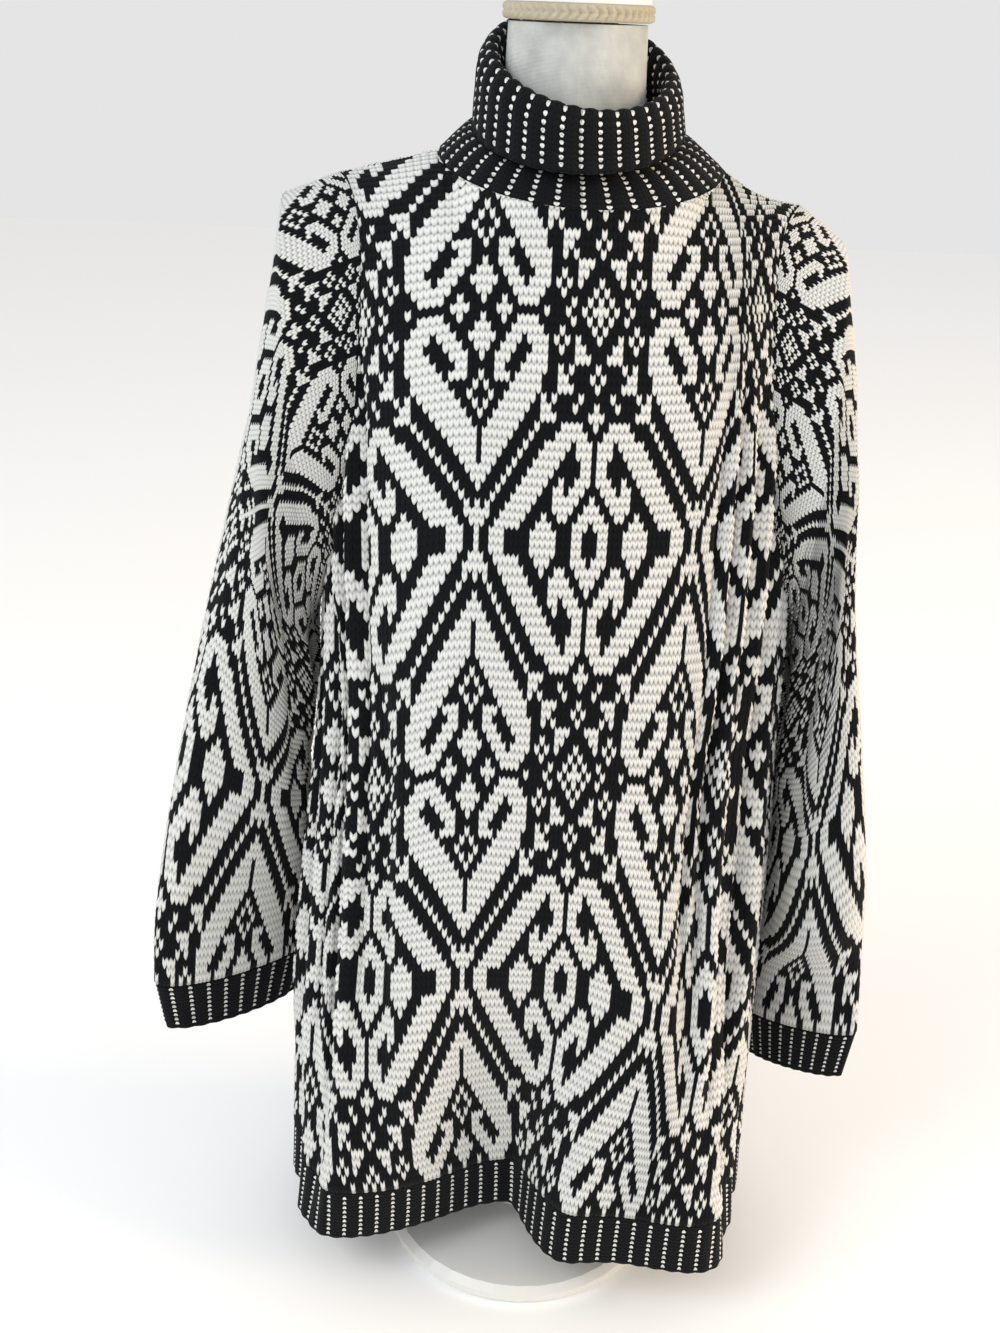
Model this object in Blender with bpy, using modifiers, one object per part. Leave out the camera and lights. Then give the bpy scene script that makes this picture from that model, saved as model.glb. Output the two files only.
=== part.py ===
"""An oversized knitted turtleneck sweater, worn by a limbless dress form on a low round stand.

The garment faces -Y, +Z is up and the origin is the middle of the stand's underside.
The body is a tube of sections, one for each height, cut into a front and a back panel.
The sleeves are flattened empty tubes that start at the armholes and hang beside the body.
"""

import bpy
import numpy as np

# Sizes, in metres
WALL = 0.0025  # knitted cloth
COLLAR_WALL = 0.0028
SEAM_GAP = 0.0003
CUFF_GAP = 0.0005
NECK_GAP = 0.0008
HEM_Z = 0.055
RIB_TOP_Z = 0.103  # where the hem rib is joined to the panels
UNDERARM_Z = 0.588
RIB_RELIEF = 0.0011
HEM_RIBS = 46  # raised ribs across one panel
CUFF_RIBS = 20
COLLAR_RIBS = 35

# Body sections by height: half-widths left and right, depths to front and back, squareness of the outline
BODY_COLUMNS = ("z", "left", "right", "front", "back", "squareness")
BODY_ROWS = (
    (0.055, 0.198, 0.190, 0.122, 0.126, 2.9),
    (0.110, 0.196, 0.188, 0.121, 0.126, 2.8),
    (0.250, 0.190, 0.185, 0.119, 0.124, 2.5),
    (0.360, 0.181, 0.183, 0.118, 0.121, 2.3),
    (0.450, 0.172, 0.180, 0.118, 0.118, 2.2),
    (0.550, 0.163, 0.173, 0.122, 0.117, 2.1),
    (0.620, 0.160, 0.167, 0.126, 0.117, 2.1),
    (0.700, 0.158, 0.162, 0.127, 0.117, 2.1),
    (0.790, 0.156, 0.158, 0.108, 0.114, 2.2),
    (0.860, 0.154, 0.156, 0.070, 0.080, 2.2),
)

# Large folds of the body: polar angle at the hem and at the top end (0 is the middle of the front, 90 is
# +X), half-width in degrees, outward height, sharpness of the bell, the heights between which it lives and
# how far it takes to fade. Above the underarm the angles shrink with the panel, so a pleat keeps its place.
FOLD_COLUMNS = ("angle_low", "angle_high", "width", "height", "sharpness", "z_low", "z_high", "fade")
FRONT_FOLDS = {
    "deep_trough": (-20.5, 2.0, 27.0, -0.067, 4.0, -0.20, 0.060, 0.34),
    "trough_lip": (13.0, 12.0, 9.0, 0.003, 2.0, -0.20, 0.150, 0.30),
    "left_hem_swell": (-60.0, -52.0, 9.0, 0.014, 2.0, -0.20, 0.090, 0.26),
    "right_hem_swell": (51.0, 45.0, 11.0, 0.030, 2.0, -0.20, 0.080, 0.34),
    "left_pleat_1": (-50.0, -56.0, 4.6, -0.011, 2.0, 0.20, 0.460, 0.17),
    "left_pleat_2": (-63.0, -69.0, 4.6, -0.012, 2.0, 0.14, 0.480, 0.17),
    "left_pleat_3": (-76.0, -81.0, 4.4, -0.010, 2.0, 0.10, 0.420, 0.17),
    "right_pleat_1": (48.0, 54.0, 4.6, -0.011, 2.0, 0.24, 0.450, 0.17),
    "right_pleat_2": (62.0, 68.0, 4.6, -0.012, 2.0, 0.16, 0.470, 0.17),
    "right_pleat_3": (76.0, 81.0, 4.4, -0.009, 2.0, 0.12, 0.420, 0.17),
}
BACK_FOLDS = {
    "back_left_trough": (-148.0, -146.0, 9.0, -0.018, 2.0, -0.20, 0.180, 0.30),
    "back_middle_swell": (176.0, 178.0, 12.0, 0.010, 2.0, -0.20, 0.200, 0.34),
    "back_right_trough": (152.0, 148.0, 9.0, -0.020, 2.0, -0.20, 0.200, 0.30),
    "back_left_pleat_1": (-106.0, -102.0, 5.0, -0.010, 2.0, 0.14, 0.450, 0.17),
    "back_left_pleat_2": (-121.0, -116.0, 5.4, -0.011, 2.0, 0.20, 0.470, 0.17),
    "back_right_pleat_1": (106.0, 102.0, 5.0, -0.010, 2.0, 0.12, 0.450, 0.17),
    "back_right_pleat_2": (121.0, 116.0, 5.4, -0.011, 2.0, 0.18, 0.470, 0.17),
}

# Armhole: polar angle from the middle of the front (or back) at which a panel ends, by height
ARMHOLE_COLUMNS = ("z", "front", "back")
ARMHOLE_ROWS = (
    (0.588, 90.0, 90.0),
    (0.615, 80.0, 80.0),
    (0.650, 71.5, 71.5),
    (0.700, 65.5, 65.5),
    (0.760, 64.0, 63.0),
    (0.860, 70.0, 66.0),
)

# Neckline seam, an oval that dips at the front
NECK_MIDDLE = (0.006, -0.006)
NECK_HALF_WIDTH = 0.093
NECK_HALF_DEPTH = 0.083
NECK_Z = 0.8905
NECK_TILT = 0.20
NECK_SIDE_LIFT = 0.004
NECK_LEAN = -0.03  # how far it drops towards +X

# Shoulder seams, from the neckline to the armhole
LEFT_SHOULDER_TIP = (-0.152, 0.002, 0.8790)
RIGHT_SHOULDER_TIP = (0.153, 0.002, 0.8690)
SHOULDER_SAG = 0.005
NECK_SHARE = 0.52  # share of the panel's half-width that ends at the neckline
YOKE_BEND = (0.74, 0.20)  # how far up the yoke its arc turns: at the neckline, and further at the shoulder

# Sleeves: a row for each section, with its share of the length and its outer, inner, front and back points
SLEEVE_COLUMNS = ("share", "outer", "inner", "front", "back")
RIGHT_SLEEVE_ROWS = (
    (0.07, (-0.190, 0.004, 0.8640), (-0.172, 0.006, 0.573), (-0.178, -0.072, 0.715), (-0.180, 0.082, 0.712)),
    (0.16, (-0.196, 0.006, 0.8030), (-0.173, 0.018, 0.546), (-0.196, -0.066, 0.668), (-0.198, 0.086, 0.668)),
    (0.27, (-0.211, 0.008, 0.7350), (-0.174, 0.026, 0.508), (-0.201, -0.056, 0.610), (-0.212, 0.082, 0.614)),
    (0.36, (-0.226, 0.006, 0.6790), (-0.179, 0.030, 0.472), (-0.204, -0.048, 0.562), (-0.220, 0.076, 0.566)),
    (0.45, (-0.240, 0.002, 0.6210), (-0.183, 0.032, 0.435), (-0.207, -0.042, 0.512), (-0.226, 0.068, 0.518)),
    (0.55, (-0.254, -0.008, 0.5590), (-0.184, 0.036, 0.396), (-0.212, -0.038, 0.462), (-0.232, 0.058, 0.470)),
    (0.66, (-0.269, -0.022, 0.4840), (-0.186, 0.044, 0.350), (-0.220, -0.032, 0.405), (-0.238, 0.046, 0.412)),
    (0.78, (-0.284, -0.034, 0.4000), (-0.187, 0.050, 0.306), (-0.230, -0.024, 0.344), (-0.246, 0.036, 0.352)),
    (0.90, (-0.297, -0.042, 0.3180), (-0.188, 0.052, 0.272), (-0.238, -0.020, 0.290), (-0.250, 0.028, 0.296)),
    (1.00, (-0.301, -0.044, 0.2590), (-0.189, 0.050, 0.242), (-0.242, -0.018, 0.249), (-0.252, 0.022, 0.253)),
)
LEFT_SLEEVE_ROWS = (
    (0.07, (0.184, 0.002, 0.8470), (0.176, 0.006, 0.570), (0.178, -0.074, 0.708), (0.181, 0.082, 0.706)),
    (0.16, (0.193, -0.002, 0.7900), (0.181, 0.016, 0.542), (0.192, -0.072, 0.658), (0.197, 0.084, 0.660)),
    (0.27, (0.201, -0.006, 0.7200), (0.184, 0.022, 0.503), (0.197, -0.070, 0.600), (0.206, 0.080, 0.604)),
    (0.36, (0.209, -0.010, 0.6600), (0.186, 0.026, 0.466), (0.200, -0.068, 0.552), (0.213, 0.074, 0.556)),
    (0.45, (0.218, -0.014, 0.6050), (0.187, 0.028, 0.427), (0.204, -0.067, 0.503), (0.219, 0.066, 0.508)),
    (0.55, (0.229, -0.018, 0.5400), (0.188, 0.032, 0.386), (0.209, -0.066, 0.452), (0.225, 0.056, 0.456)),
    (0.66, (0.241, -0.024, 0.4680), (0.189, 0.038, 0.340), (0.215, -0.064, 0.394), (0.231, 0.048, 0.398)),
    (0.78, (0.253, -0.030, 0.3850), (0.190, 0.042, 0.288), (0.222, -0.056, 0.330), (0.238, 0.040, 0.334)),
    (0.90, (0.262, -0.034, 0.2950), (0.190, 0.044, 0.236), (0.226, -0.018, 0.268), (0.238, 0.028, 0.268)),
    (1.00, (0.268, -0.034, 0.2280), (0.190, 0.044, 0.192), (0.228, -0.012, 0.212), (0.236, 0.022, 0.212)),
)
FIRST_SHARE = 0.07
CUFF_LENGTH = 0.044
CUFF_NARROWING = 0.86  # width of the cuff's edge against its top

# Collar profile from the neckline seam up, over the fold and down: half-widths, middle, height and tilt
COLLAR_COLUMNS = ("middle_x", "middle_y", "half_width", "half_depth", "z", "tilt", "side_lift", "lean")
COLLAR_ROWS = (
    (0.0050, -0.0045, 0.0760, 0.0715, 0.9055, 0.23, 0.0030, -0.04),
    (0.0040, -0.0020, 0.0590, 0.0620, 0.9150, 0.27, 0.0, -0.04),
    (0.0040, -0.0005, 0.0550, 0.0580, 0.9310, 0.36, 0.0, -0.08),
    (0.0035, 0.0000, 0.0545, 0.0575, 0.9450, 0.42, 0.0, -0.11),
    (0.0035, 0.0000, 0.0580, 0.0605, 0.9530, 0.43, 0.0, -0.12),
    (0.0030, -0.0005, 0.0620, 0.0655, 0.9485, 0.42, 0.0, -0.11),
    (0.0030, -0.0025, 0.0650, 0.0720, 0.9320, 0.35, 0.0, -0.06),
    (0.0035, -0.0050, 0.0665, 0.0800, 0.9150, 0.27, 0.0, 0.0),
)

# Dress form: half-width, half-depth and middle of each level
FORM_COLUMNS = ("z", "half_width", "half_depth", "middle_y")
FORM_ROWS = (
    (0.3200, 0.126, 0.084, 0.004),
    (0.3240, 0.131, 0.088, 0.004),
    (0.3800, 0.133, 0.090, 0.004),
    (0.4500, 0.122, 0.085, 0.002),
    (0.5200, 0.114, 0.083, 0.000),
    (0.6000, 0.124, 0.090, -0.002),
    (0.6800, 0.134, 0.100, -0.006),
    (0.7600, 0.138, 0.090, -0.002),
    (0.8200, 0.143, 0.072, 0.002),
    (0.8446, 0.141, 0.059, 0.004),
    (0.8596, 0.134, 0.052, 0.004),
    (0.8706, 0.119, 0.047, 0.003),
    (0.8796, 0.098, 0.046, 0.001),
    (0.8880, 0.072, 0.047, 0.000),
    (0.9000, 0.054, 0.047, 0.000),
    (0.9200, 0.0465, 0.0460, 0.000),
    (0.9755, 0.0445, 0.0445, 0.000),
)
PART_GAP = 0.0003  # between the turned pieces, one above another
POLE_RADIUS = 0.0125

# Turned pieces, each a list of (radius, height) from the axis at the top down the outer side to the axis
BRAID_PROFILE = ((0.0, 0.9872), (0.0462, 0.9872), (0.0474, 0.9850), (0.0474, 0.9800), (0.0455, 0.9758),
                 (0.0, 0.9758))
CAP_PROFILE = ((0.0, 1.0135), (0.016, 1.0120), (0.030, 1.0065), (0.040, 0.9985), (0.046, 0.9915),
               (0.046, 0.9875), (0.0, 0.9875))
FOOT_PROFILE = ((0.0, 0.3197), (0.045, 0.3197), (0.045, 0.3120), (0.020, 0.3080), (0.020, 0.2800),
                (0.0, 0.2800))
BASE_PROFILE = ((0.0, 0.032), (0.022, 0.032), (0.026, 0.022), (0.070, 0.018), (0.109, 0.014), (0.115, 0.009),
                (0.115, 0.003), (0.112, 0.0), (0.0, 0.0))

# Mesh resolution
FRONT_COLUMNS = 38
BACK_COLUMNS = 28
SIDE_DENSITY = 0.35  # how much closer the columns stand at the sides, where the pleats are
BODY_LEVELS = (0.1033, 0.145, 0.195, 0.250, 0.310, 0.375, 0.445, 0.520, 0.588)
ARMHOLE_LEVELS = (0.612, 0.645, 0.685, 0.735, 0.790)
YOKE_STEPS = 4
SLEEVE_STEPS = 13
SECTION_SAMPLES = 1440
FORM_SEGMENTS = 28
BRAID_SEGMENTS = 40
FOOT_SEGMENTS = 32
POLE_SEGMENTS = 24
BASE_SEGMENTS = 36


def smooth(x):
    """0 below 0, 1 above 1 and an even S between them."""
    x = np.clip(x, 0.0, 1.0)
    return x * x * (3.0 - 2.0 * x)


def column(rows, names, name):
    return np.array([row[names.index(name)] for row in rows], float)


def through(rows, names, name, at, by="z"):
    """A column's value at any place along another, on a smooth curve through the rows."""
    x = column(rows, names, by)
    y = column(rows, names, name)
    slopes = np.gradient(y, x, axis=0)
    at = np.clip(np.asarray(at, float), x[0], x[-1])
    i = np.clip(np.searchsorted(x, at, side="right") - 1, 0, len(x) - 2)
    step = x[i + 1] - x[i]
    t = (at - x[i]) / step
    if y.ndim > 1:
        t = t[..., None]
        step = step[..., None]
    h00 = 2 * t**3 - 3 * t**2 + 1
    h10 = t**3 - 2 * t**2 + t
    return h00 * y[i] + h10 * step * slopes[i] + (1 - h00) * y[i + 1] + (t**3 - t**2) * step * slopes[i + 1]


def panel_end(z, facing):
    """Polar angle from a panel's middle to its side seam or, above the underarm, to its armhole."""
    end = through(ARMHOLE_ROWS, ARMHOLE_COLUMNS, facing, z)
    return np.where(np.asarray(z) <= UNDERARM_Z, 90.0, end)


def fold_height(angle, z):
    """Sum of the folds: each a bell across the angle, at full height between its two z, fading past them."""
    angle = (np.asarray(angle) + 180.0) % 360.0 - 180.0
    from_front = angle * 90.0 / panel_end(z, "front")
    from_back = 180.0 - (180.0 - np.abs(angle)) * 90.0 / panel_end(z, "back")
    ahead = np.abs(angle) < 90.0
    at_back = np.sign(angle) * np.maximum(from_back, 90.0)
    angle = np.where(ahead, np.clip(from_front, -90.0, 90.0), at_back)
    total = np.zeros(np.broadcast(angle, z).shape)
    for fold in list(FRONT_FOLDS.values()) + list(BACK_FOLDS.values()):
        low, high, width, height, sharpness, z_low, z_high, fade = fold
        along = np.clip((z - max(z_low, HEM_Z)) / (z_high + fade - max(z_low, HEM_Z)), 0.0, 1.0)
        middle = low + (high - low) * along
        away = (angle - middle + 180.0) % 360.0 - 180.0
        strength = smooth((z_high + fade - z) / fade) * smooth((z - z_low) / 0.16 + 1.0)
        total = total + height * strength * np.exp(-(np.abs(away / width) ** sharpness))
    return total


def body_point(angle, z):
    """The cloth's outer face: a rounded-square oval for each height, moved out or in by the folds."""
    angle = np.asarray(angle, float)
    z = np.broadcast_to(np.asarray(z, float), angle.shape)
    sine = np.sin(np.radians(angle))
    cosine = np.cos(np.radians(angle))
    side = smooth(0.5 + sine * 2.0)
    half_width = through(BODY_ROWS, BODY_COLUMNS, "left", z) * (1 - side)
    half_width = half_width + through(BODY_ROWS, BODY_COLUMNS, "right", z) * side
    ahead = smooth(0.5 + cosine * 2.0)
    half_depth = through(BODY_ROWS, BODY_COLUMNS, "back", z) * (1 - ahead)
    half_depth = half_depth + through(BODY_ROWS, BODY_COLUMNS, "front", z) * ahead
    power = through(BODY_ROWS, BODY_COLUMNS, "squareness", z)
    radius = (np.abs(sine / half_width) ** power + np.abs(cosine / half_depth) ** power) ** (-1.0 / power)
    radius = radius + fold_height(angle, z)
    return np.stack([radius * sine, -radius * cosine, z], axis=-1)


def panel_section(z, shares, facing):
    """Points of a panel at one height, evenly spaced along the cloth; shares run from -1 to 1."""
    end = float(panel_end(z, facing))
    angles = np.linspace(-end * 1.2, end * 1.2, SECTION_SAMPLES)
    turned = angles if facing == "front" else angles + 180.0
    points = body_point(turned, z)
    lengths = np.concatenate([[0.0], np.cumsum(np.linalg.norm(np.diff(points, axis=0), axis=1))])
    start, stop = np.interp([-end, end], angles, lengths)
    wanted = start + (np.asarray(shares) + 1.0) / 2.0 * (stop - start)
    return body_point(np.interp(wanted, lengths, turned), z)


def neckline(turn):
    """The neckline seam; turn 0 is the middle of the front and 90 the +X side."""
    sine = np.sin(np.radians(turn))
    y = NECK_MIDDLE[1] - NECK_HALF_DEPTH * np.cos(np.radians(turn))
    x = NECK_MIDDLE[0] + NECK_HALF_WIDTH * sine
    z = NECK_Z + NECK_TILT * y + NECK_LEAN * x + NECK_SIDE_LIFT * sine**2
    return np.stack([x, y, z], axis=-1)


def neckline_normal(turn):
    """The cloth's outward direction at the neckline seam, shared by the panels and the collar."""
    sine = np.sin(np.radians(turn))
    cosine = np.cos(np.radians(turn))
    spread = 0.55 + 0.35 * np.maximum(cosine, 0.0)
    return unit(np.stack([spread * sine, -spread * cosine, np.ones_like(sine)], axis=-1))


def unit(v):
    return v / np.maximum(np.linalg.norm(v, axis=-1, keepdims=True), 1e-12)


def panel_top(shares, facing):
    """The panel's upper edge: shoulder seam, neckline, shoulder seam."""
    flip = 1.0 if facing == "front" else -1.0
    side = np.sign(shares) * flip
    reach = np.abs(shares)
    turn = np.minimum(reach / NECK_SHARE, 1.0) * 90.0 * side
    if facing == "back":
        turn = 180.0 - turn
    at_neck = neckline(turn)
    tips = np.where(side[:, None] < 0, np.array(LEFT_SHOULDER_TIP), np.array(RIGHT_SHOULDER_TIP))
    ends = neckline(np.where(side < 0, -90.0, 90.0))
    along = np.clip((reach - NECK_SHARE) / (1.0 - NECK_SHARE), 0.0, 1.3)[:, None]
    seam = at_neck + along * (tips - ends)
    seam[:, 2] -= SHOULDER_SAG * np.sin(np.pi * np.clip(along[:, 0], 0.0, 1.0)) * (side > 0)
    return seam


def panel(facing, shares, levels):
    """Grid of a panel's outer face, from the hem seam up; the yoke is a Bezier arc for each column."""
    rows = [panel_section(z, shares, facing) for z in levels]
    below = panel_section(levels[-1] - 0.012, shares, facing)
    rise = rows[-1] - below
    top = panel_top(shares, facing)
    reach = np.abs(shares)[:, None]
    over = smooth((reach - 0.75 * NECK_SHARE) / (0.45 * NECK_SHARE))
    height = (top[:, 2:] - rows[-1][:, 2:])
    climb = rows[-1] + rise / rise[:, 2:] * height * (YOKE_BEND[0] + YOKE_BEND[1] * over)
    bend = climb.copy()
    bend[:, 1] = climb[:, 1] * (1.0 - 0.05 * over[:, 0])
    for t in np.linspace(0.0, 1.0, YOKE_STEPS + 1)[1:]:
        rows.append((1 - t) ** 2 * rows[len(levels) - 1] + 2 * t * (1 - t) * bend + t**2 * top)
    last = 1.05
    ghost = (1 - last) ** 2 * rows[len(levels) - 1] + 2 * last * (1 - last) * bend + last**2 * top
    return np.array(rows), ghost


def normals_of(grid, wrapped):
    """Outward unit normals of a grid, from the directions along its rows and columns."""
    if wrapped:
        across = np.roll(grid, -1, axis=1) - np.roll(grid, 1, axis=1)
    else:
        across = np.gradient(grid, axis=1)
    return unit(np.cross(across, np.gradient(grid, axis=0)))


def collection_for(name):
    made = bpy.data.collections.new(name)
    bpy.context.scene.collection.children.link(made)
    return made


def material(name, colour, roughness, metallic=0.0):
    made = bpy.data.materials.new(name)
    made.use_nodes = True
    shader = made.node_tree.nodes["Principled BSDF"]
    shader.inputs["Base Color"].default_value = (*colour, 1.0)
    shader.inputs["Roughness"].default_value = roughness
    shader.inputs["Metallic"].default_value = metallic
    return made


def mesh_object(name, points, faces, finish, into):
    data = bpy.data.meshes.new(name)
    data.from_pydata([tuple(p) for p in points], [], [tuple(f) for f in faces])
    data.validate()
    data.shade_smooth()
    data.materials.append(finish)
    made = bpy.data.objects.new(name, data)
    into.objects.link(made)
    return made


def wall(name, outer, inner, wrapped, finish, into):
    """A closed wall between two grids of the same size: both faces and a strip along each open edge."""
    rows, columns = outer.shape[:2]
    index = np.arange(rows * columns).reshape(rows, columns)
    if wrapped:
        index = np.concatenate([index, index[:, :1]], axis=1)
    back = index + rows * columns
    faces = []
    for grid, turned in ((index, False), (back, True)):
        quads = np.stack([grid[:-1, :-1], grid[:-1, 1:], grid[1:, 1:], grid[1:, :-1]], axis=-1)
        quads = quads.reshape(-1, 4)
        faces.extend(quads[:, ::-1] if turned else quads)
    strips = [(index[0, ::-1], back[0, ::-1]), (index[-1], back[-1])]
    if not wrapped:
        strips += [(index[:, 0], back[:, 0]), (index[::-1, -1], back[::-1, -1])]
    for edge, behind in strips:
        faces.extend(np.stack([edge[:-1], edge[1:], behind[1:], behind[:-1]], axis=-1))
    points = np.concatenate([outer.reshape(-1, 3), inner.reshape(-1, 3)])
    faces = np.array(faces)
    corners = points[faces]
    volume = np.einsum("ij,ij->i", corners[:, 0], np.cross(corners[:, 1], corners[:, 2])).sum()
    volume += np.einsum("ij,ij->i", corners[:, 0], np.cross(corners[:, 2], corners[:, 3])).sum()
    if volume < 0:
        faces = faces[:, ::-1]
    return mesh_object(name, points, faces, finish, into)


def body_panel(facing, columns):
    """Outer face and normals of the front or back, with its side edges half a seam gap short."""
    edge = 1.0 - SEAM_GAP / 0.5
    even = np.linspace(-1.0, 1.0, columns + 1)
    inside = edge * (even + SIDE_DENSITY * np.sin(np.pi * even) / np.pi)
    step = inside[1] - inside[0]
    shares = np.concatenate([[-edge - step], inside, [edge + step]])
    grid, ghost = panel(facing, shares, BODY_LEVELS + ARMHOLE_LEVELS)
    full = np.concatenate([grid, ghost[None]])
    normals = normals_of(full, False)[:-1, 1:-1]
    grid = grid[:, 1:-1]
    grid[-1, :, 1] += -SEAM_GAP if facing == "front" else SEAM_GAP
    at_neck = np.abs(inside) < NECK_SHARE
    turn = inside / NECK_SHARE * 90.0 + (180.0 if facing == "back" else 0.0)
    normals[-1, at_neck] = neckline_normal(turn[at_neck])
    for tip, turn in ((LEFT_SHOULDER_TIP, -90.0), (RIGHT_SHOULDER_TIP, 90.0)):
        slope = unit(np.array(tip) - neckline(turn))
        upward = np.cross(slope, [0.0, 1.0, 0.0])
        on_seam = (np.abs(inside) >= NECK_SHARE) & (np.sign(grid[-1, :, 0]) == np.sign(turn))
        normals[-1, on_seam] = upward * np.sign(upward[2])
    return grid, normals


def hem_rib(facing):
    """Points of a hem rib: raised ribs with a groove between each, over a plain inside."""
    columns = HEM_RIBS * 2
    edge = 1.0 - SEAM_GAP / 0.5
    shares = np.linspace(-edge - 2 * edge / columns, edge + 2 * edge / columns, columns + 3)
    levels = (HEM_Z, (HEM_Z + RIB_TOP_Z) / 2, RIB_TOP_Z - SEAM_GAP)
    grid = np.array([panel_section(z, shares, facing) for z in levels])
    normals = normals_of(grid, False)[:, 1:-1]
    grid = grid[:, 1:-1]
    raised = np.where(np.arange(columns + 1) % 2 == 1, 0.0, -RIB_RELIEF)
    outer = grid + normals * raised[None, :, None]
    inner = grid - normals * (WALL + RIB_RELIEF * 0.5)
    return outer, inner


def armhole_loop(front, back, side):
    """The armhole's edge up the front, over the shoulder and down the back: points, normals, tip index."""
    first = len(BODY_LEVELS) - 1
    front_grid, front_normals = front
    back_grid, back_normals = back
    f = 0 if side < 0 else -1
    b = -1 if side < 0 else 0
    points = np.concatenate([front_grid[first:, f], back_grid[first + 1 : -1, b][::-1]])
    normals = np.concatenate([front_normals[first:, f], back_normals[first + 1 : -1, b][::-1]])
    tip = len(front_grid) - 1 - first
    points[tip] = (front_grid[-1, f] + back_grid[-1, b]) / 2
    normals[tip] = unit(front_normals[-1, f] + back_normals[-1, b])
    points[0] = (front_grid[first, f] + back_grid[first, b]) / 2
    normals[0] = unit(front_normals[first, f] + back_normals[first, b])
    return points, normals, tip


def sleeve(rows, loop, side, steps):
    """Rings of a sleeve: the armhole loop, then flattened ovals through each row's four points."""
    points, loop_normals, tip = loop
    count = len(points)
    lengths = np.concatenate([[0.0], np.cumsum(np.linalg.norm(np.diff(points, axis=0), axis=1))])
    total = lengths[-1] + np.linalg.norm(points[-1] - points[0])
    turn = np.empty(count)
    turn[: tip + 1] = lengths[: tip + 1] / lengths[tip] * np.pi
    turn[tip:] = np.pi + (lengths[tip:] - lengths[tip]) / (total - lengths[tip]) * np.pi
    shares = FIRST_SHARE + (1.0 - FIRST_SHARE) * np.linspace(0.0, 1.0, steps)
    corners = {n: through(rows, SLEEVE_COLUMNS, n, shares, by="share") for n in SLEEVE_COLUMNS[1:]}
    middle = (corners["outer"] + corners["inner"]) / 2
    half = (corners["inner"] - corners["outer"]) / 2
    ahead = corners["front"] - middle
    behind = corners["back"] - middle
    cosine = np.cos(turn)[None, :, None]
    sine = np.sin(turn)[None, :, None]
    rings = middle[:, None] + half[:, None] * cosine
    rings = rings + np.where(sine > 0, ahead[:, None], -behind[:, None]) * sine
    away = np.array([side, 0.0, 0.0]) * SEAM_GAP * 1.6
    first = points + away + np.array([0.0, 0.0, -SEAM_GAP]) * (turn == 0.0)[:, None]
    grid = np.concatenate([first[None], rings])
    normals = normals_of(grid, True) * (1.0 if side < 0 else -1.0)
    normals[0] = loop_normals
    return grid, normals


def evenly_round(ring, values, count):
    """Values at evenly spaced places round a closed ring of points."""
    closed = np.concatenate([ring, ring[:1]])
    values = np.concatenate([values, values[:1]])
    lengths = np.concatenate([[0.0], np.cumsum(np.linalg.norm(np.diff(closed, axis=0), axis=1))])
    wanted = np.arange(count) / count * lengths[-1]
    return np.stack([np.interp(wanted, lengths, values[:, k]) for k in range(3)], axis=-1)


def cuff(grid, sleeve_normals, side):
    """Ribbed cuff that continues the sleeve's last rings and narrows a little."""
    last = grid[-1]
    direction = unit((grid[-1] - grid[-2]).mean(axis=0))
    middle = last.mean(axis=0)
    count = CUFF_RIBS * 2
    ring = evenly_round(last, last, count)
    rows = []
    for t in (0.0, 0.5, 1.0):
        size = 1.0 + (CUFF_NARROWING - 1.0) * t
        rows.append(middle + (ring - middle) * size + direction * (CUFF_GAP + t * CUFF_LENGTH))
    grid = np.array(rows)
    normals = normals_of(grid, True) * (1.0 if side < 0 else -1.0)
    normals[0] = unit(evenly_round(last, sleeve_normals[-1], count))
    raised = np.where(np.arange(count) % 2 == 1, 0.0, -RIB_RELIEF)
    return grid + normals * raised[None, :, None], grid - normals * (WALL + RIB_RELIEF * 0.5)


def collar_rings():
    """Outer and inner face of the collar, ring by ring along its profile, ribbed on the face that shows."""
    count = COLLAR_RIBS * 2
    turn = np.radians(np.arange(count) * 360.0 / count)
    seam = neckline(np.degrees(turn))
    rings = [seam]
    for row in COLLAR_ROWS:
        middle_x, middle_y, half_width, half_depth, z, tilt, lift, lean = row
        x = middle_x + half_width * np.sin(turn)
        y = middle_y - half_depth * np.cos(turn)
        rings.append(np.stack([x, y, z + tilt * y + lean * x + lift * np.sin(turn) ** 2], axis=-1))
    rings[0] = seam + unit(rings[1] - seam) * NECK_GAP
    grid = np.array(rings)
    normals = normals_of(grid, True)
    normals[0] = neckline_normal(np.degrees(turn))
    raised = np.where(np.arange(count) % 2 == 1, 0.0, -RIB_RELIEF)
    outer = grid + normals * raised[None, :, None]
    return outer, grid - normals * COLLAR_WALL


def form_solid(finish, into):
    """The torso and neck: a closed loft of ovals with a flat underside and a flat top."""
    count = FORM_SEGMENTS
    turn = np.radians(np.arange(count) * 360.0 / count)
    rings = []
    for z, half_width, half_depth, middle_y in FORM_ROWS:
        x = half_width * np.sin(turn)
        y = middle_y - half_depth * np.cos(turn)
        rings.append(np.stack([x, y, np.full(count, z)], axis=-1))
    points = np.array(rings).reshape(-1, 3)
    index = np.arange(len(points)).reshape(-1, count)
    index = np.concatenate([index, index[:, :1]], axis=1)
    quads = np.stack([index[:-1, :-1], index[:-1, 1:], index[1:, 1:], index[1:, :-1]], axis=-1)
    faces = [tuple(q) for q in quads.reshape(-1, 4)]
    faces.append(tuple(index[0, -2::-1]))
    faces.append(tuple(index[-1, :-1]))
    return mesh_object("form_torso", points, faces, finish, into)


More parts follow.
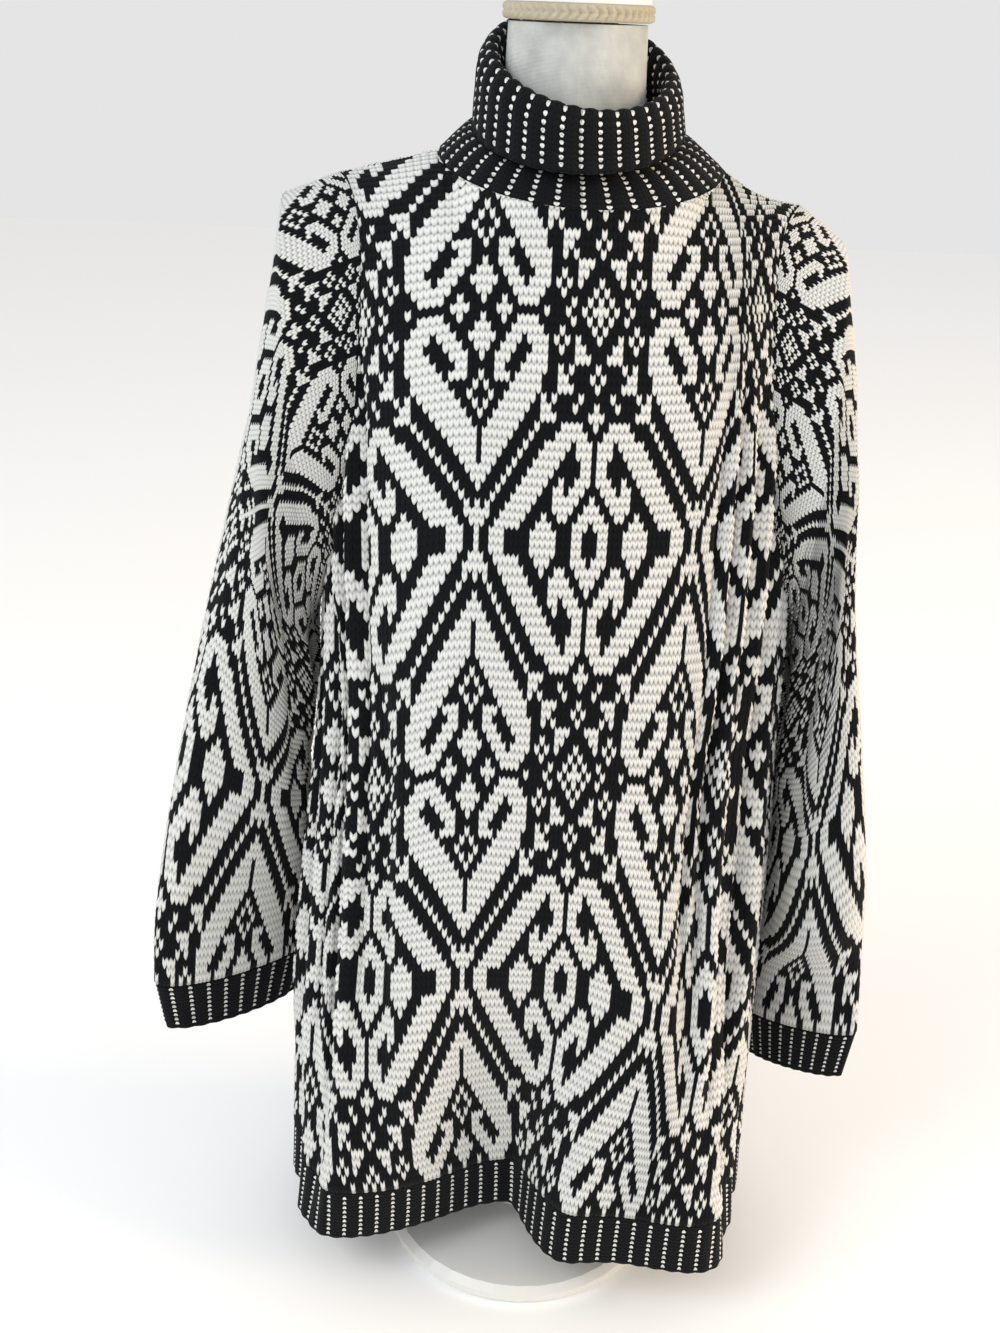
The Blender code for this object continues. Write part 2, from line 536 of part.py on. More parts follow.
def turned(name, profile, finish, into, segments):
    """A turned shape: the profile runs down the outer side, from the axis at the top to it at the foot."""
    data = bpy.data.meshes.new(name)
    data.from_pydata([(r, 0.0, z) for r, z in profile], [(i, i + 1) for i in range(len(profile) - 1)], [])
    data.materials.append(finish)
    made = bpy.data.objects.new(name, data)
    into.objects.link(made)
    screw = made.modifiers.new("turn", "SCREW")
    screw.steps = segments
    screw.render_steps = segments
    screw.use_merge_vertices = True
    screw.merge_threshold = 0.00001
    screw.use_smooth_shade = True
    return made


def main():
    for thing in list(bpy.data.objects):
        bpy.data.objects.remove(thing)
    into = collection_for("turtleneck_sweater")
    black_white = material("jacquard_knit", (0.16, 0.16, 0.17), 0.9)
    black_rib = material("black_rib", (0.02, 0.02, 0.024), 0.9)
    linen = material("linen_cover", (0.72, 0.70, 0.65), 0.85)
    braid = material("gimp_braid", (0.62, 0.55, 0.44), 0.8)
    painted = material("painted_wood", (0.80, 0.79, 0.76), 0.4)
    metal = material("painted_metal", (0.75, 0.75, 0.74), 0.35, 0.6)

    panels = {}
    for facing, columns in (("front", FRONT_COLUMNS), ("back", BACK_COLUMNS)):
        grid, normals = body_panel(facing, columns)
        panels[facing] = (grid, normals)
        wall(facing, grid, grid - normals * WALL, False, black_white, into)
        outer, inner = hem_rib(facing)
        wall("hem_rib_" + facing, outer, inner, False, black_rib, into)

    for name, side, rows in (("right", -1, RIGHT_SLEEVE_ROWS), ("left", 1, LEFT_SLEEVE_ROWS)):
        loop = armhole_loop(panels["front"], panels["back"], side)
        grid, normals = sleeve(rows, loop, side, SLEEVE_STEPS)
        wall("sleeve_" + name, grid, grid - normals * WALL, True, black_white, into)
        outer, inner = cuff(grid, normals, side)
        wall("cuff_" + name, outer, inner, True, black_rib, into)

    outer, inner = collar_rings()
    wall("collar", outer, inner, True, black_rib, into)

    form_solid(linen, into)
    turned("neck_braid", BRAID_PROFILE, braid, into, BRAID_SEGMENTS)
    turned("neck_cap", CAP_PROFILE, painted, into, BRAID_SEGMENTS)
    turned("form_foot", FOOT_PROFILE, metal, into, FOOT_SEGMENTS)
    pole_top = FOOT_PROFILE[-1][1] - PART_GAP
    pole_foot = BASE_PROFILE[0][1] + PART_GAP
    pole_profile = ((0.0, pole_top), (POLE_RADIUS, pole_top), (POLE_RADIUS, pole_foot), (0.0, pole_foot))
    turned("stand_pole", pole_profile, metal, into, POLE_SEGMENTS)
    turned("stand_base", BASE_PROFILE, painted, into, BASE_SEGMENTS)


main()
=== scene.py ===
import math

import bmesh
import bpy
import mathutils
import numpy as np
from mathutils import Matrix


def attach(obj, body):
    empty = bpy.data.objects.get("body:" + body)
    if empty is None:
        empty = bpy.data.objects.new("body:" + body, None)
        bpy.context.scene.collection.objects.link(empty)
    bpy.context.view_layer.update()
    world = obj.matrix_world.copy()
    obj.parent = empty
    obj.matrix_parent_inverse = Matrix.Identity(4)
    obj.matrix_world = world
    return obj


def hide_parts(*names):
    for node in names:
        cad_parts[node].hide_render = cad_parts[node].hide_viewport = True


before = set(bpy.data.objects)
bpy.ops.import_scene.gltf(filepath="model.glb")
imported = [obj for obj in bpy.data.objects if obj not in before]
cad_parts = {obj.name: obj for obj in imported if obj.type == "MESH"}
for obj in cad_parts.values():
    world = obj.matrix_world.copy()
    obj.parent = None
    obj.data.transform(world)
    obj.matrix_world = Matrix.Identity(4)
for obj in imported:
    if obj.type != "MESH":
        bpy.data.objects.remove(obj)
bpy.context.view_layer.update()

# The front and back panels are knitted from black and white cotton and wool yarn, a lozenge trellis with
# ram's-horn hooks, and joined at the shoulders and sides. They hang as the solids do: an oval with large
# folds at each height, bent over the shoulders in the yoke. Each stitch here is two faces that make its V.
WALL = 0.0025
STITCH = 0.00334
HEM_Z = 0.055
RIB_TOP = 0.1033
UNDERARM = 0.588
YOKE_FOOT = 0.790

BODY_COLUMNS = ("z", "left", "right", "front", "back", "squareness")
BODY_ROWS = (
    (0.055, 0.198, 0.190, 0.122, 0.126, 2.9),
    (0.110, 0.196, 0.188, 0.121, 0.126, 2.8),
    (0.250, 0.190, 0.185, 0.119, 0.124, 2.5),
    (0.360, 0.181, 0.183, 0.118, 0.121, 2.3),
    (0.450, 0.172, 0.180, 0.118, 0.118, 2.2),
    (0.550, 0.163, 0.173, 0.122, 0.117, 2.1),
    (0.620, 0.160, 0.167, 0.126, 0.117, 2.1),
    (0.700, 0.158, 0.162, 0.127, 0.117, 2.1),
    (0.790, 0.156, 0.158, 0.108, 0.114, 2.2),
    (0.860, 0.154, 0.156, 0.070, 0.080, 2.2),
)
SIDE_BLEND = 2.0
FOLD_ONSET = 0.16
# angle at the hem, angle at the top, half-width, outward height, sharpness, z_low, z_high, fade
LARGE_FOLDS = (
    (-20.5, 2.0, 27.0, -0.067, 4.0, -0.20, 0.060, 0.34),
    (13.0, 12.0, 9.0, 0.003, 2.0, -0.20, 0.150, 0.30),
    (-60.0, -52.0, 9.0, 0.014, 2.0, -0.20, 0.090, 0.26),
    (51.0, 45.0, 11.0, 0.030, 2.0, -0.20, 0.080, 0.34),
    (-50.0, -56.0, 4.6, -0.011, 2.0, 0.20, 0.460, 0.17),
    (-63.0, -69.0, 4.6, -0.012, 2.0, 0.14, 0.480, 0.17),
    (-76.0, -81.0, 4.4, -0.010, 2.0, 0.10, 0.420, 0.17),
    (48.0, 54.0, 4.6, -0.011, 2.0, 0.24, 0.450, 0.17),
    (62.0, 68.0, 4.6, -0.012, 2.0, 0.16, 0.470, 0.17),
    (76.0, 81.0, 4.4, -0.009, 2.0, 0.12, 0.420, 0.17),
    (-148.0, -146.0, 9.0, -0.018, 2.0, -0.20, 0.180, 0.30),
    (176.0, 178.0, 12.0, 0.010, 2.0, -0.20, 0.200, 0.34),
    (152.0, 148.0, 9.0, -0.020, 2.0, -0.20, 0.200, 0.30),
    (-106.0, -102.0, 5.0, -0.010, 2.0, 0.14, 0.450, 0.17),
    (-121.0, -116.0, 5.4, -0.011, 2.0, 0.20, 0.470, 0.17),
    (106.0, 102.0, 5.0, -0.010, 2.0, 0.12, 0.450, 0.17),
    (121.0, 116.0, 5.4, -0.011, 2.0, 0.18, 0.470, 0.17),
)
ARMHOLE_COLUMNS = ("z", "front", "back")
ARMHOLE_ROWS = (
    (0.588, 90.0, 90.0),
    (0.615, 80.0, 80.0),
    (0.650, 71.5, 71.5),
    (0.700, 65.5, 65.5),
    (0.760, 64.0, 63.0),
    (0.860, 70.0, 66.0),
)
NECK_MIDDLE = (0.006, -0.006)
NECK_HALF = (0.093, 0.083)
NECK_Z, NECK_TILT, NECK_SIDE_LIFT, NECK_LEAN = 0.8905, 0.20, 0.004, -0.03
SHOULDER_TIPS = ((-0.152, 0.002, 0.8790), (0.153, 0.002, 0.8690))
SHOULDER_SAG = 0.005
NECK_SHARE = 0.52
# The yoke's bend: its height as a share of the rise, what the shoulders add to that, where they begin and
# over what width, in necks, how far they draw the cloth in, and the height its first direction comes from.
YOKE_BEND, SHOULDER_BEND = 0.74, 0.20
SHOULDER_BEGIN, SHOULDER_WIDTH = 0.75, 0.45
SHOULDER_DRAW = 0.05
YOKE_STEP = 0.012
# Points of a measured section, and its reach as a multiple of the panel's half
SECTION_POINTS = 1440
SECTION_REACH = 1.2
NO_LENGTH = 1e-10


def smooth(x):
    """0 below 0, 1 above 1 and an even S between them."""
    x = np.clip(x, 0.0, 1.0)
    return x * x * (3.0 - 2.0 * x)


def unit(v):
    """Vectors made one long; a vector of no length stays none."""
    size = np.linalg.norm(v, axis=-1, keepdims=True)
    return np.where(size > NO_LENGTH, v / np.maximum(size, NO_LENGTH), 0.0)


def lengths_along(points, axis=0):
    """Length of cloth from the start of each column (axis 0) or row (axis 1) of points to every point."""
    steps = np.linalg.norm(np.diff(points, axis=axis), axis=-1)
    start = np.zeros_like(np.take(steps, [0], axis=axis))
    return np.concatenate([start, np.cumsum(steps, axis=axis)], axis=axis)


def placed(at, places, points):
    """Points at given places along a line of points, on the straight stretches between them."""
    return np.stack([np.interp(at, places, points[:, k]) for k in range(3)], axis=-1)


def through(rows, names, name, at, by="z"):
    """A table column's value at any place along another, on a cubic curve through the rows."""
    x = np.array([row[names.index(by)] for row in rows], float)
    y = np.array([row[names.index(name)] for row in rows], float)
    slopes = np.gradient(y, x, axis=0)
    at = np.clip(np.asarray(at, float), x[0], x[-1])
    i = np.clip(np.searchsorted(x, at, side="right") - 1, 0, len(x) - 2)
    step = x[i + 1] - x[i]
    t = (at - x[i]) / step
    if y.ndim > 1:
        t, step = t[..., None], step[..., None]
    rise = 3 * t**2 - 2 * t**3
    leave, arrive = t**3 - 2 * t**2 + t, t**3 - t**2
    return (1 - rise) * y[i] + leave * step * slopes[i] + rise * y[i + 1] + arrive * step * slopes[i + 1]


def panel_end(z, facing):
    """Angle from a panel's middle to its side seam, or to its armhole above the underarm."""
    end = through(ARMHOLE_ROWS, ARMHOLE_COLUMNS, facing, z)
    return np.where(np.asarray(z) <= UNDERARM, 90.0, end)


def fold_height(angle, z):
    """Sum of the large folds: for each a bell across the angle, fading above and below its two heights."""
    angle = (angle + 180.0) % 360.0 - 180.0
    from_front = np.clip(angle * 90.0 / panel_end(z, "front"), -90.0, 90.0)
    behind = (180.0 - np.abs(angle)) * 90.0 / panel_end(z, "back")
    from_back = np.sign(angle) * np.maximum(180.0 - behind, 90.0)
    angle = np.where(np.abs(angle) < 90.0, from_front, from_back)
    total = np.zeros(np.broadcast(angle, z).shape)
    for low, high, width, height, sharpness, z_low, z_high, fade in LARGE_FOLDS:
        bottom = max(z_low, HEM_Z)
        middle = low + (high - low) * np.clip((z - bottom) / (z_high + fade - bottom), 0.0, 1.0)
        away = (angle - middle + 180.0) % 360.0 - 180.0
        strength = smooth((z_high + fade - z) / fade) * smooth((z - z_low) / FOLD_ONSET + 1.0)
        total = total + height * strength * np.exp(-(np.abs(away / width) ** sharpness))
    return total


def body_point(angle, z):
    """The cloth's outer face: a rounded-square oval for each height, moved out or in by the large folds."""
    angle = np.asarray(angle, float)
    z = np.broadcast_to(np.asarray(z, float), angle.shape)
    sine, cosine = np.sin(np.radians(angle)), np.cos(np.radians(angle))
    side, ahead = smooth(0.5 + sine * SIDE_BLEND), smooth(0.5 + cosine * SIDE_BLEND)
    wide = through(BODY_ROWS, BODY_COLUMNS, "left", z) * (1 - side)
    wide = wide + through(BODY_ROWS, BODY_COLUMNS, "right", z) * side
    deep = through(BODY_ROWS, BODY_COLUMNS, "back", z) * (1 - ahead)
    deep = deep + through(BODY_ROWS, BODY_COLUMNS, "front", z) * ahead
    power = through(BODY_ROWS, BODY_COLUMNS, "squareness", z)
    radius = (np.abs(sine / wide) ** power + np.abs(cosine / deep) ** power) ** (-1.0 / power)
    radius = radius + fold_height(angle, z)
    return np.stack([radius * sine, -radius * cosine, z], axis=-1)


def neckline(turn):
    """The neck opening: an oval that leans down to the front; turn 0 is its front and 90 the +X side."""
    sine, cosine = np.sin(np.radians(turn)), np.cos(np.radians(turn))
    x, y = NECK_MIDDLE[0] + NECK_HALF[0] * sine, NECK_MIDDLE[1] - NECK_HALF[1] * cosine
    return np.stack([x, y, NECK_Z + NECK_TILT * y + NECK_LEAN * x + NECK_SIDE_LIFT * sine**2], axis=-1)


def panel_top(shares, facing):
    """A panel's upper edge: shoulder seam, neckline, shoulder seam."""
    side = np.sign(shares) * (1.0 if facing == "front" else -1.0)
    reach = np.abs(shares)
    turn = np.minimum(reach / NECK_SHARE, 1.0) * 90.0 * side
    tips = np.where(side[:, None] < 0, np.array(SHOULDER_TIPS[0]), np.array(SHOULDER_TIPS[1]))
    along = np.clip((reach - NECK_SHARE) / (1.0 - NECK_SHARE), 0.0, 1.3)[:, None]
    seam = neckline(turn if facing == "front" else 180.0 - turn)
    seam = seam + along * (tips - neckline(np.where(side < 0, -90.0, 90.0)))
    seam[:, 2] -= SHOULDER_SAG * np.sin(np.pi * np.clip(along[:, 0], 0.0, 1.0)) * (side > 0)
    return seam


def panel_section(z, shares, facing):
    """Points of a panel at one height, evenly spaced along the cloth from edge to edge."""
    middle = 0.0 if facing == "front" else 180.0
    end = float(panel_end(z, facing))
    angles = np.linspace(-end * SECTION_REACH, end * SECTION_REACH, SECTION_POINTS) + middle
    lengths = lengths_along(body_point(angles, z))
    start, stop = np.interp([middle - end, middle + end], angles, lengths)
    wanted = start + (np.asarray(shares) + 1.0) / 2.0 * (stop - start)
    return body_point(np.interp(wanted, lengths, angles), z)


def yoke(shares, facing, steps):
    """The yoke: for each share a quadratic Bezier arc that goes on up from the chest to the top edge."""
    foot = panel_section(YOKE_FOOT, shares, facing)
    rise = foot - panel_section(YOKE_FOOT - YOKE_STEP, shares, facing)
    top = panel_top(shares, facing)
    over = smooth((np.abs(shares)[:, None] - SHOULDER_BEGIN * NECK_SHARE) / (SHOULDER_WIDTH * NECK_SHARE))
    bend = foot + rise / rise[:, 2:] * (top - foot)[:, 2:] * (YOKE_BEND + SHOULDER_BEND * over)
    bend[:, 1] *= 1.0 - SHOULDER_DRAW * over[:, 0]
    t = np.linspace(0.0, 1.0, steps + 1)[:, None, None]
    return (1 - t) ** 2 * foot + 2 * t * (1 - t) * bend + t**2 * top


# Heights of the knitted rows: the cloth hangs a little longer in the skirt than at the chest
ROWS_UP = np.array([0.0, 48.0, 98.0, 148.0, 191.0])
ROWS_Z = np.array([RIB_TOP, 0.316, 0.494, 0.667, YOKE_FOOT])
YOKE_ROW = 0.0029
PANEL_ROWS = 246
HALF_STITCHES = {"front": (81.5, 94.5), "back": (88.5, 87.5)}
# At the front the rows sag towards the side seams, the stitches beside the left figure lie further apart and
# those at the right side are drawn together. Each place is a stitch line where the change begins or ends,
# and the stitches it takes, minus for towards the left.
SAG_COLUMNS = ("row", "left", "right")
SAG_ROWS = (
    (0.0, 0.0, 0.0),
    (24.0, 1.5, 3.5),
    (48.0, 5.0, 7.5),
    (98.0, 11.0, 3.0),
    (148.0, 8.0, 0.0),
    (198.0, 7.0, 0.0),
    (246.0, 6.0, 0.0),
)
SAG_PLACES = {"left": (-15.5, -24.0), "right": (4.0, 34.0)}
SPREAD_Z = (0.103, 0.316, 0.494, 0.667, 0.790)
SPREAD = (0.004, 0.007, 0.012, 0.018, 0.021)
SPREAD_PLACES = ((-15.5, -22.0), (-64.0, 26.0))
YOKE_SPREAD = 0.020
SPREAD_GROWTH = 1.5
PLEAT_TAKE = 0.022
PLEAT_PLACES = ((26.0, 26.0), (92.0, -32.0))
# Fineness of the measuring: angles to each side and their count, heights, and the yoke's shares and steps
MEASURED_ANGLE, ANGLE_COUNT = 96.0, 1153
LEVEL_COUNT = 140
YOKE_SHARES, YOKE_STEPS = 481, 48


def ramp(u, line, stitches):
    """0 up to a stitch line and 1 once so many stitches past it; a minus number goes to the left."""
    return smooth((u - line) / stitches)


def stitch_angles(levels, u, facing):
    """Angle of each stitch line at each level, its place along the cloth and the panel's two ends.

    Lines stand a stitch apart at the middle, and the cube of the way out takes up the rest at the seam."""
    base = 0.0 if facing == "front" else 180.0
    angles = np.linspace(-MEASURED_ANGLE, MEASURED_ANGLE, ANGLE_COUNT)
    points = body_point(np.broadcast_to(angles + base, (len(levels), len(angles))), levels[:, None])
    lengths = lengths_along(points, axis=1)
    lengths -= lengths[:, [ANGLE_COUNT // 2]]
    low, high = HALF_STITCHES[facing]
    found, place = np.empty((2, len(levels), len(u)))
    ends = np.empty((len(levels), 2))
    for k, z in enumerate(levels):
        seam_low, seam_high = np.interp([-90.0, 90.0], angles, lengths[k])
        side = np.where(u < 0, low, high)
        room = np.where(u < 0, -seam_low, seam_high)
        s = STITCH * np.abs(u) + (room - STITCH * side) * (np.abs(u) / side) ** 3
        s = np.sign(u) * s
        if facing == "front":
            spread = ramp(u, *SPREAD_PLACES[0]) * ramp(u, *SPREAD_PLACES[1])
            pleats = ramp(u, *PLEAT_PLACES[0]) * ramp(u, *PLEAT_PLACES[1])
            s = s - np.interp(z, SPREAD_Z, SPREAD) * spread - PLEAT_TAKE * pleats
        end = float(panel_end(z, facing))
        ends[k] = np.interp([-end, end], angles, lengths[k])
        place[k] = s
        found[k] = base + np.interp(np.clip(s, *ends[k]), lengths[k], angles)
    return found, place, ends


def panel_cloth(facing, u, t):
    """A panel's points at stitch line u and row t: level rows below the yoke, counted up each line in it."""
    levels = np.linspace(RIB_TOP, YOKE_FOOT, LEVEL_COUNT)
    found, place, ends = stitch_angles(levels, u, facing)
    if facing == "front":
        for side, sag_place in SAG_PLACES.items():
            t = t - through(SAG_ROWS, SAG_COLUMNS, side, t, by="row") * ramp(u, *sag_place)
    z = np.interp(t, ROWS_UP, ROWS_Z)
    f = np.clip((z - levels[0]) / (levels[1] - levels[0]), 0.0, len(levels) - 1.001)
    i = f.astype(int)
    f = f - i
    j = np.broadcast_to(np.arange(len(u)), t.shape)
    below = body_point(found[i, j] * (1 - f) + found[i + 1, j] * f, z)

    shares = np.linspace(-1.0, 1.0, YOKE_SHARES)
    dense = yoke(shares, facing, YOKE_STEPS)
    flip = 1.0 if facing == "front" else -1.0
    foot = body_point(found[-1], np.full(len(u), YOKE_FOOT))
    across = foot[:, 0] * flip
    across = across + place[-1] - np.clip(place[-1], *ends[-1])
    spread = YOKE_SPREAD * ramp(u, *SPREAD_PLACES[0]) * (facing == "front")
    lines = np.empty((len(dense), len(u), 3))
    for k, row in enumerate(dense):
        order = np.argsort(row[:, 0] * flip)
        wanted = across - spread * (k / len(dense)) ** SPREAD_GROWTH
        lines[k] = placed(np.interp(wanted, (row[:, 0] * flip)[order], shares[order]), shares, row)
    lengths = lengths_along(lines)
    risen = np.maximum(t - ROWS_UP[-1], 0.0) * YOKE_ROW
    above = np.empty(t.shape + (3,))
    for c in range(len(u)):
        above[:, c] = placed(risen[:, c], lengths[:, c], lines[:, c])
    return np.where((t <= ROWS_UP[-1])[..., None], below, above)


# The figure's quarter, in stitches from the upright axis through the crossings and in cells of two rows from
# the crossing's level. A stroke is its first cell, first stitch and last stitch and, where it runs on, its
# count of cells and its step outward at each.
FIGURE = {
    "crossing bar": ((0, 0, 0, 2, 0), (2, 0, 1), (3, 0, 2), (4, 0, 0), (4, 2, 2)),
    "seed chain": ((5, 3, 3, 9, 1),),
    "horn band": (
        (6, 0, 0, 3, 0), (7, 0, 1, 2, 0), (8, 0, 2), (9, 1, 3), (10, 1, 4), (11, 1, 5), (12, 1, 6, 6, 1),
        (18, 7, 11), (19, 8, 12), (20, 9, 12), (21, 10, 12),
    ),
    "horn curl": (
        (22, 9, 12), (23, 6, 11), (24, 7, 10), (22, 5, 7), (21, 4, 6), (20, 3, 5), (19, 3, 4), (18, 3, 5),
    ),
    "upright diamond": ((24, 0, 0), (23, 0, 1), (22, 0, 2), (21, 0, 1), (20, 0, 0)),
    "seed ring": ((18, 0, 0), (17, 1, 1), (16, 2, 2), (15, 1, 1), (14, 0, 0)),
    "small cross": ((25, 3, 5), (24, 4, 4), (25, 12, 12)),
    "seed group": ((23, 15, 15), (22, 14, 14), (22, 16, 16), (21, 15, 15), (25, 16, 16), (24, 17, 17)),
    "steps": (
        (14, 12, 14), (15, 12, 13), (16, 12, 12), (16, 14, 14), (17, 15, 17), (18, 15, 16), (19, 15, 15),
        (19, 17, 17), (20, 18, 20), (21, 18, 19), (22, 18, 18),
    ),
    "middle seeds": ((19, 22, 22), (18, 21, 21), (17, 22, 22), (16, 19, 19), (15, 18, 18)),
    "middle cross": ((13, 22, 22), (14, 21, 22), (15, 22, 22)),
    "seed cluster": ((25, 21, 22), (24, 22, 22), (25, 19, 19), (24, 20, 20), (23, 21, 21), (22, 22, 22)),
    "lozenge corner": ((0, 3, 5, 2, 0),),
    "lozenge band": ((2, 4, 8, 10, 1), (12, 15, 20), (13, 16, 19)),
    "lozenge side": ((10, 19, 21, 2, 0), (8, 20, 21, 2, 0), (7, 19, 21), (6, 18, 20)),
    "lozenge hook": ((7, 16, 16), (6, 15, 16), (5, 15, 19), (4, 15, 18), (3, 16, 17)),
    "side diamond": ((0, 11, 15, 2, 0), (2, 12, 14), (3, 13, 13)),
    "ring": ((5, 22, 22), (4, 21, 22), (3, 20, 22), (2, 19, 21), (0, 19, 20, 2, 0)),
}
FIGURE_STITCHES = 44
FIGURE_CELLS = 50
# Below the first a corner has no area, and points nearer than the second are one
NO_AREA = 2e-8
ONE_POINT = 0.000002


def is_white(stitch, row, middle, crossing):
    """Whether a stitch is white: its place, folded into the figure's quarter, lies in one of the strokes."""
    away = np.abs((stitch - middle) % FIGURE_STITCHES - FIGURE_STITCHES // 2)
    half = FIGURE_CELLS // 2
    cell = np.abs((row // 2 - crossing + half) % FIGURE_CELLS - half)
    white = np.zeros(np.broadcast(away, cell).shape, bool)
    for strokes in FIGURE.values():
        for first, low, high, *run in strokes:
            cells, lean = run or (1, 0)
            shift = lean * (cell - first)
            white |= (cell >= first) & (cell < first + cells) & (away >= low + shift) & (away <= high + shift)
    return white


def normals_of(grid, wrapped=False):
    """Unit normals from the directions along a grid's columns and rows."""
    if wrapped:
        across = np.roll(grid, -1, axis=1) - np.roll(grid, 1, axis=1)
    else:
        across = np.gradient(grid, axis=1)
        across[:, 0], across[:, -1] = grid[:, 2] - grid[:, 0], grid[:, -1] - grid[:, -3]
    along = np.gradient(grid, axis=0)
    cross = np.cross(across, along)
    return np.where(np.linalg.norm(cross, axis=-1, keepdims=True) > NO_AREA, unit(cross), 0.0)


def new_piece(name, points, faces, finishes, finish_of_face, uv_of_point):
    """A mesh object from arrays: points, faces of any size, each face's finish and each point's UV.

    Points that lie on one another, as at a seam, become one, so that the cloth is closed."""
    corners = np.concatenate([np.ravel(group) for group in faces])
    sizes = np.concatenate([np.full(len(group), group.shape[1]) for group in faces])
    mesh = bpy.data.meshes.new(name)
    mesh.vertices.add(len(points))
    mesh.vertices.foreach_set("co", np.ascontiguousarray(points, np.float32).ravel())
    mesh.loops.add(len(corners))
    mesh.loops.foreach_set("vertex_index", np.ascontiguousarray(corners, np.int32))
    mesh.polygons.add(len(sizes))
    mesh.polygons.foreach_set("loop_start", np.concatenate([[0], np.cumsum(sizes)[:-1]]).astype(np.int32))
    mesh.polygons.foreach_set("material_index", np.concatenate(finish_of_face).astype(np.int32))
    mesh.update(calc_edges=True)
    layer = mesh.uv_layers.new(name="stitches")
    layer.data.foreach_set("uv", np.ascontiguousarray(uv_of_point[corners], np.float32).ravel())
    joined = bmesh.new()
    joined.from_mesh(mesh)
    bmesh.ops.remove_doubles(joined, verts=joined.verts, dist=ONE_POINT)
    loose = [vertex for vertex in joined.verts if not vertex.link_faces]
    bmesh.ops.delete(joined, geom=loose, context="VERTS")
    joined.to_mesh(mesh)
    joined.free()
    for finish in finishes:
        mesh.materials.append(finish)
    mesh.polygons.foreach_set("use_smooth", np.ones(len(mesh.polygons), bool))
    made = bpy.data.objects.new(name, mesh)
    bpy.context.scene.collection.objects.link(made)
    return made


def grid_faces(rows, columns, wrapped=False):
    """Corner numbers of the faces between neighbouring rows and columns, row by row."""
    index = np.arange(rows * columns).reshape(rows, columns)
    if wrapped:
        index = np.concatenate([index, index[:, :1]], axis=1)
    return np.stack([index[:-1, :-1], index[:-1, 1:], index[1:, 1:], index[1:, :-1]], axis=-1)


def edge_strip(front, back, picked):
    """Faces that join a fine edge to one with only the picked points: one for each stretch between these."""
    groups = {}
    for low, high in zip(picked[:-1], picked[1:]):
        face = [*front[low : high + 1], back[high], back[low]]
        groups.setdefault(len(face), []).append(face)
    return [np.array(group) for group in groups.values()]


def shell(name, outer, base, normals, finish_grid, uv, wrapped=False, coarse=4, turned=False):
    """A wall of cloth: the fine outer face, a plain inner face with fewer points and strips to join them."""
    rows, columns = outer.shape[:2]
    count = rows * columns
    front = np.arange(count).reshape(rows, columns)
    if wrapped:
        front = np.concatenate([front, front[:, :1]], axis=1)
    back = front + count
    pick_rows = np.unique(np.append(np.arange(0, rows, coarse), rows - 1))
    pick_columns = np.unique(np.append(np.arange(0, front.shape[1], coarse), front.shape[1] - 1))
    few = back[np.ix_(pick_rows, pick_columns)]
    faces = [grid_faces(rows, columns, wrapped).reshape(-1, 4)]
    faces.append(np.stack([few[:-1, :-1], few[1:, :-1], few[1:, 1:], few[:-1, 1:]], axis=-1).reshape(-1, 4))
    faces += [face[:, ::-1] for face in edge_strip(front[0], back[0], pick_columns)]
    faces += edge_strip(front[-1], back[-1], pick_columns)
    if not wrapped:
        faces += edge_strip(front[:, 0], back[:, 0], pick_rows)
        faces += [face[:, ::-1] for face in edge_strip(front[:, -1], back[:, -1], pick_rows)]
    if turned:
        faces = [face[:, ::-1] for face in faces]
    looks = [finish_grid.ravel()] + [np.zeros(len(face)) for face in faces[1:]]
    points = np.concatenate([outer.reshape(-1, 3), (base - normals * WALL).reshape(-1, 3)])
    uv = np.concatenate([uv.reshape(-1, 2)] * 2)
    return new_piece(name, points, faces, (black_yarn, white_yarn), looks, uv)


# A stitch in the yarn's bump: how far its V slants, in rows, and what its length and its width add
V_SLANT = 0.375
LENGTH_SHARE, WIDTH_SHARE = 0.65, 0.35


def noise_on(tree, place, scale, detail):
    """A noise in the piece's own coordinates."""
    noise = tree.nodes.new("ShaderNodeTexNoise")
    noise.inputs["Scale"].default_value = scale
    noise.inputs["Detail"].default_value = detail
    tree.links.new(place.outputs["Object"], noise.inputs["Vector"])
    return noise.outputs["Fac"]


def two_tones(tree, first, second, share):
    """A colour that goes from the first tone to the second with a share."""
    tones = tree.nodes.new("ShaderNodeMixRGB")
    tones.inputs["Color1"].default_value = (*first, 1.0)
    tones.inputs["Color2"].default_value = (*second, 1.0)
    tree.links.new(share, tones.inputs["Fac"])
    return tones.outputs["Color"]


def add_bump(tree, shader, height, strength, distance):
    """A bump on a shader's normal."""
    bump = tree.nodes.new("ShaderNodeBump")
    bump.inputs["Strength"].default_value = strength
    bump.inputs["Distance"].default_value = distance
    tree.links.new(height, bump.inputs["Height"])
    tree.links.new(bump.outputs["Normal"], shader.inputs["Normal"])


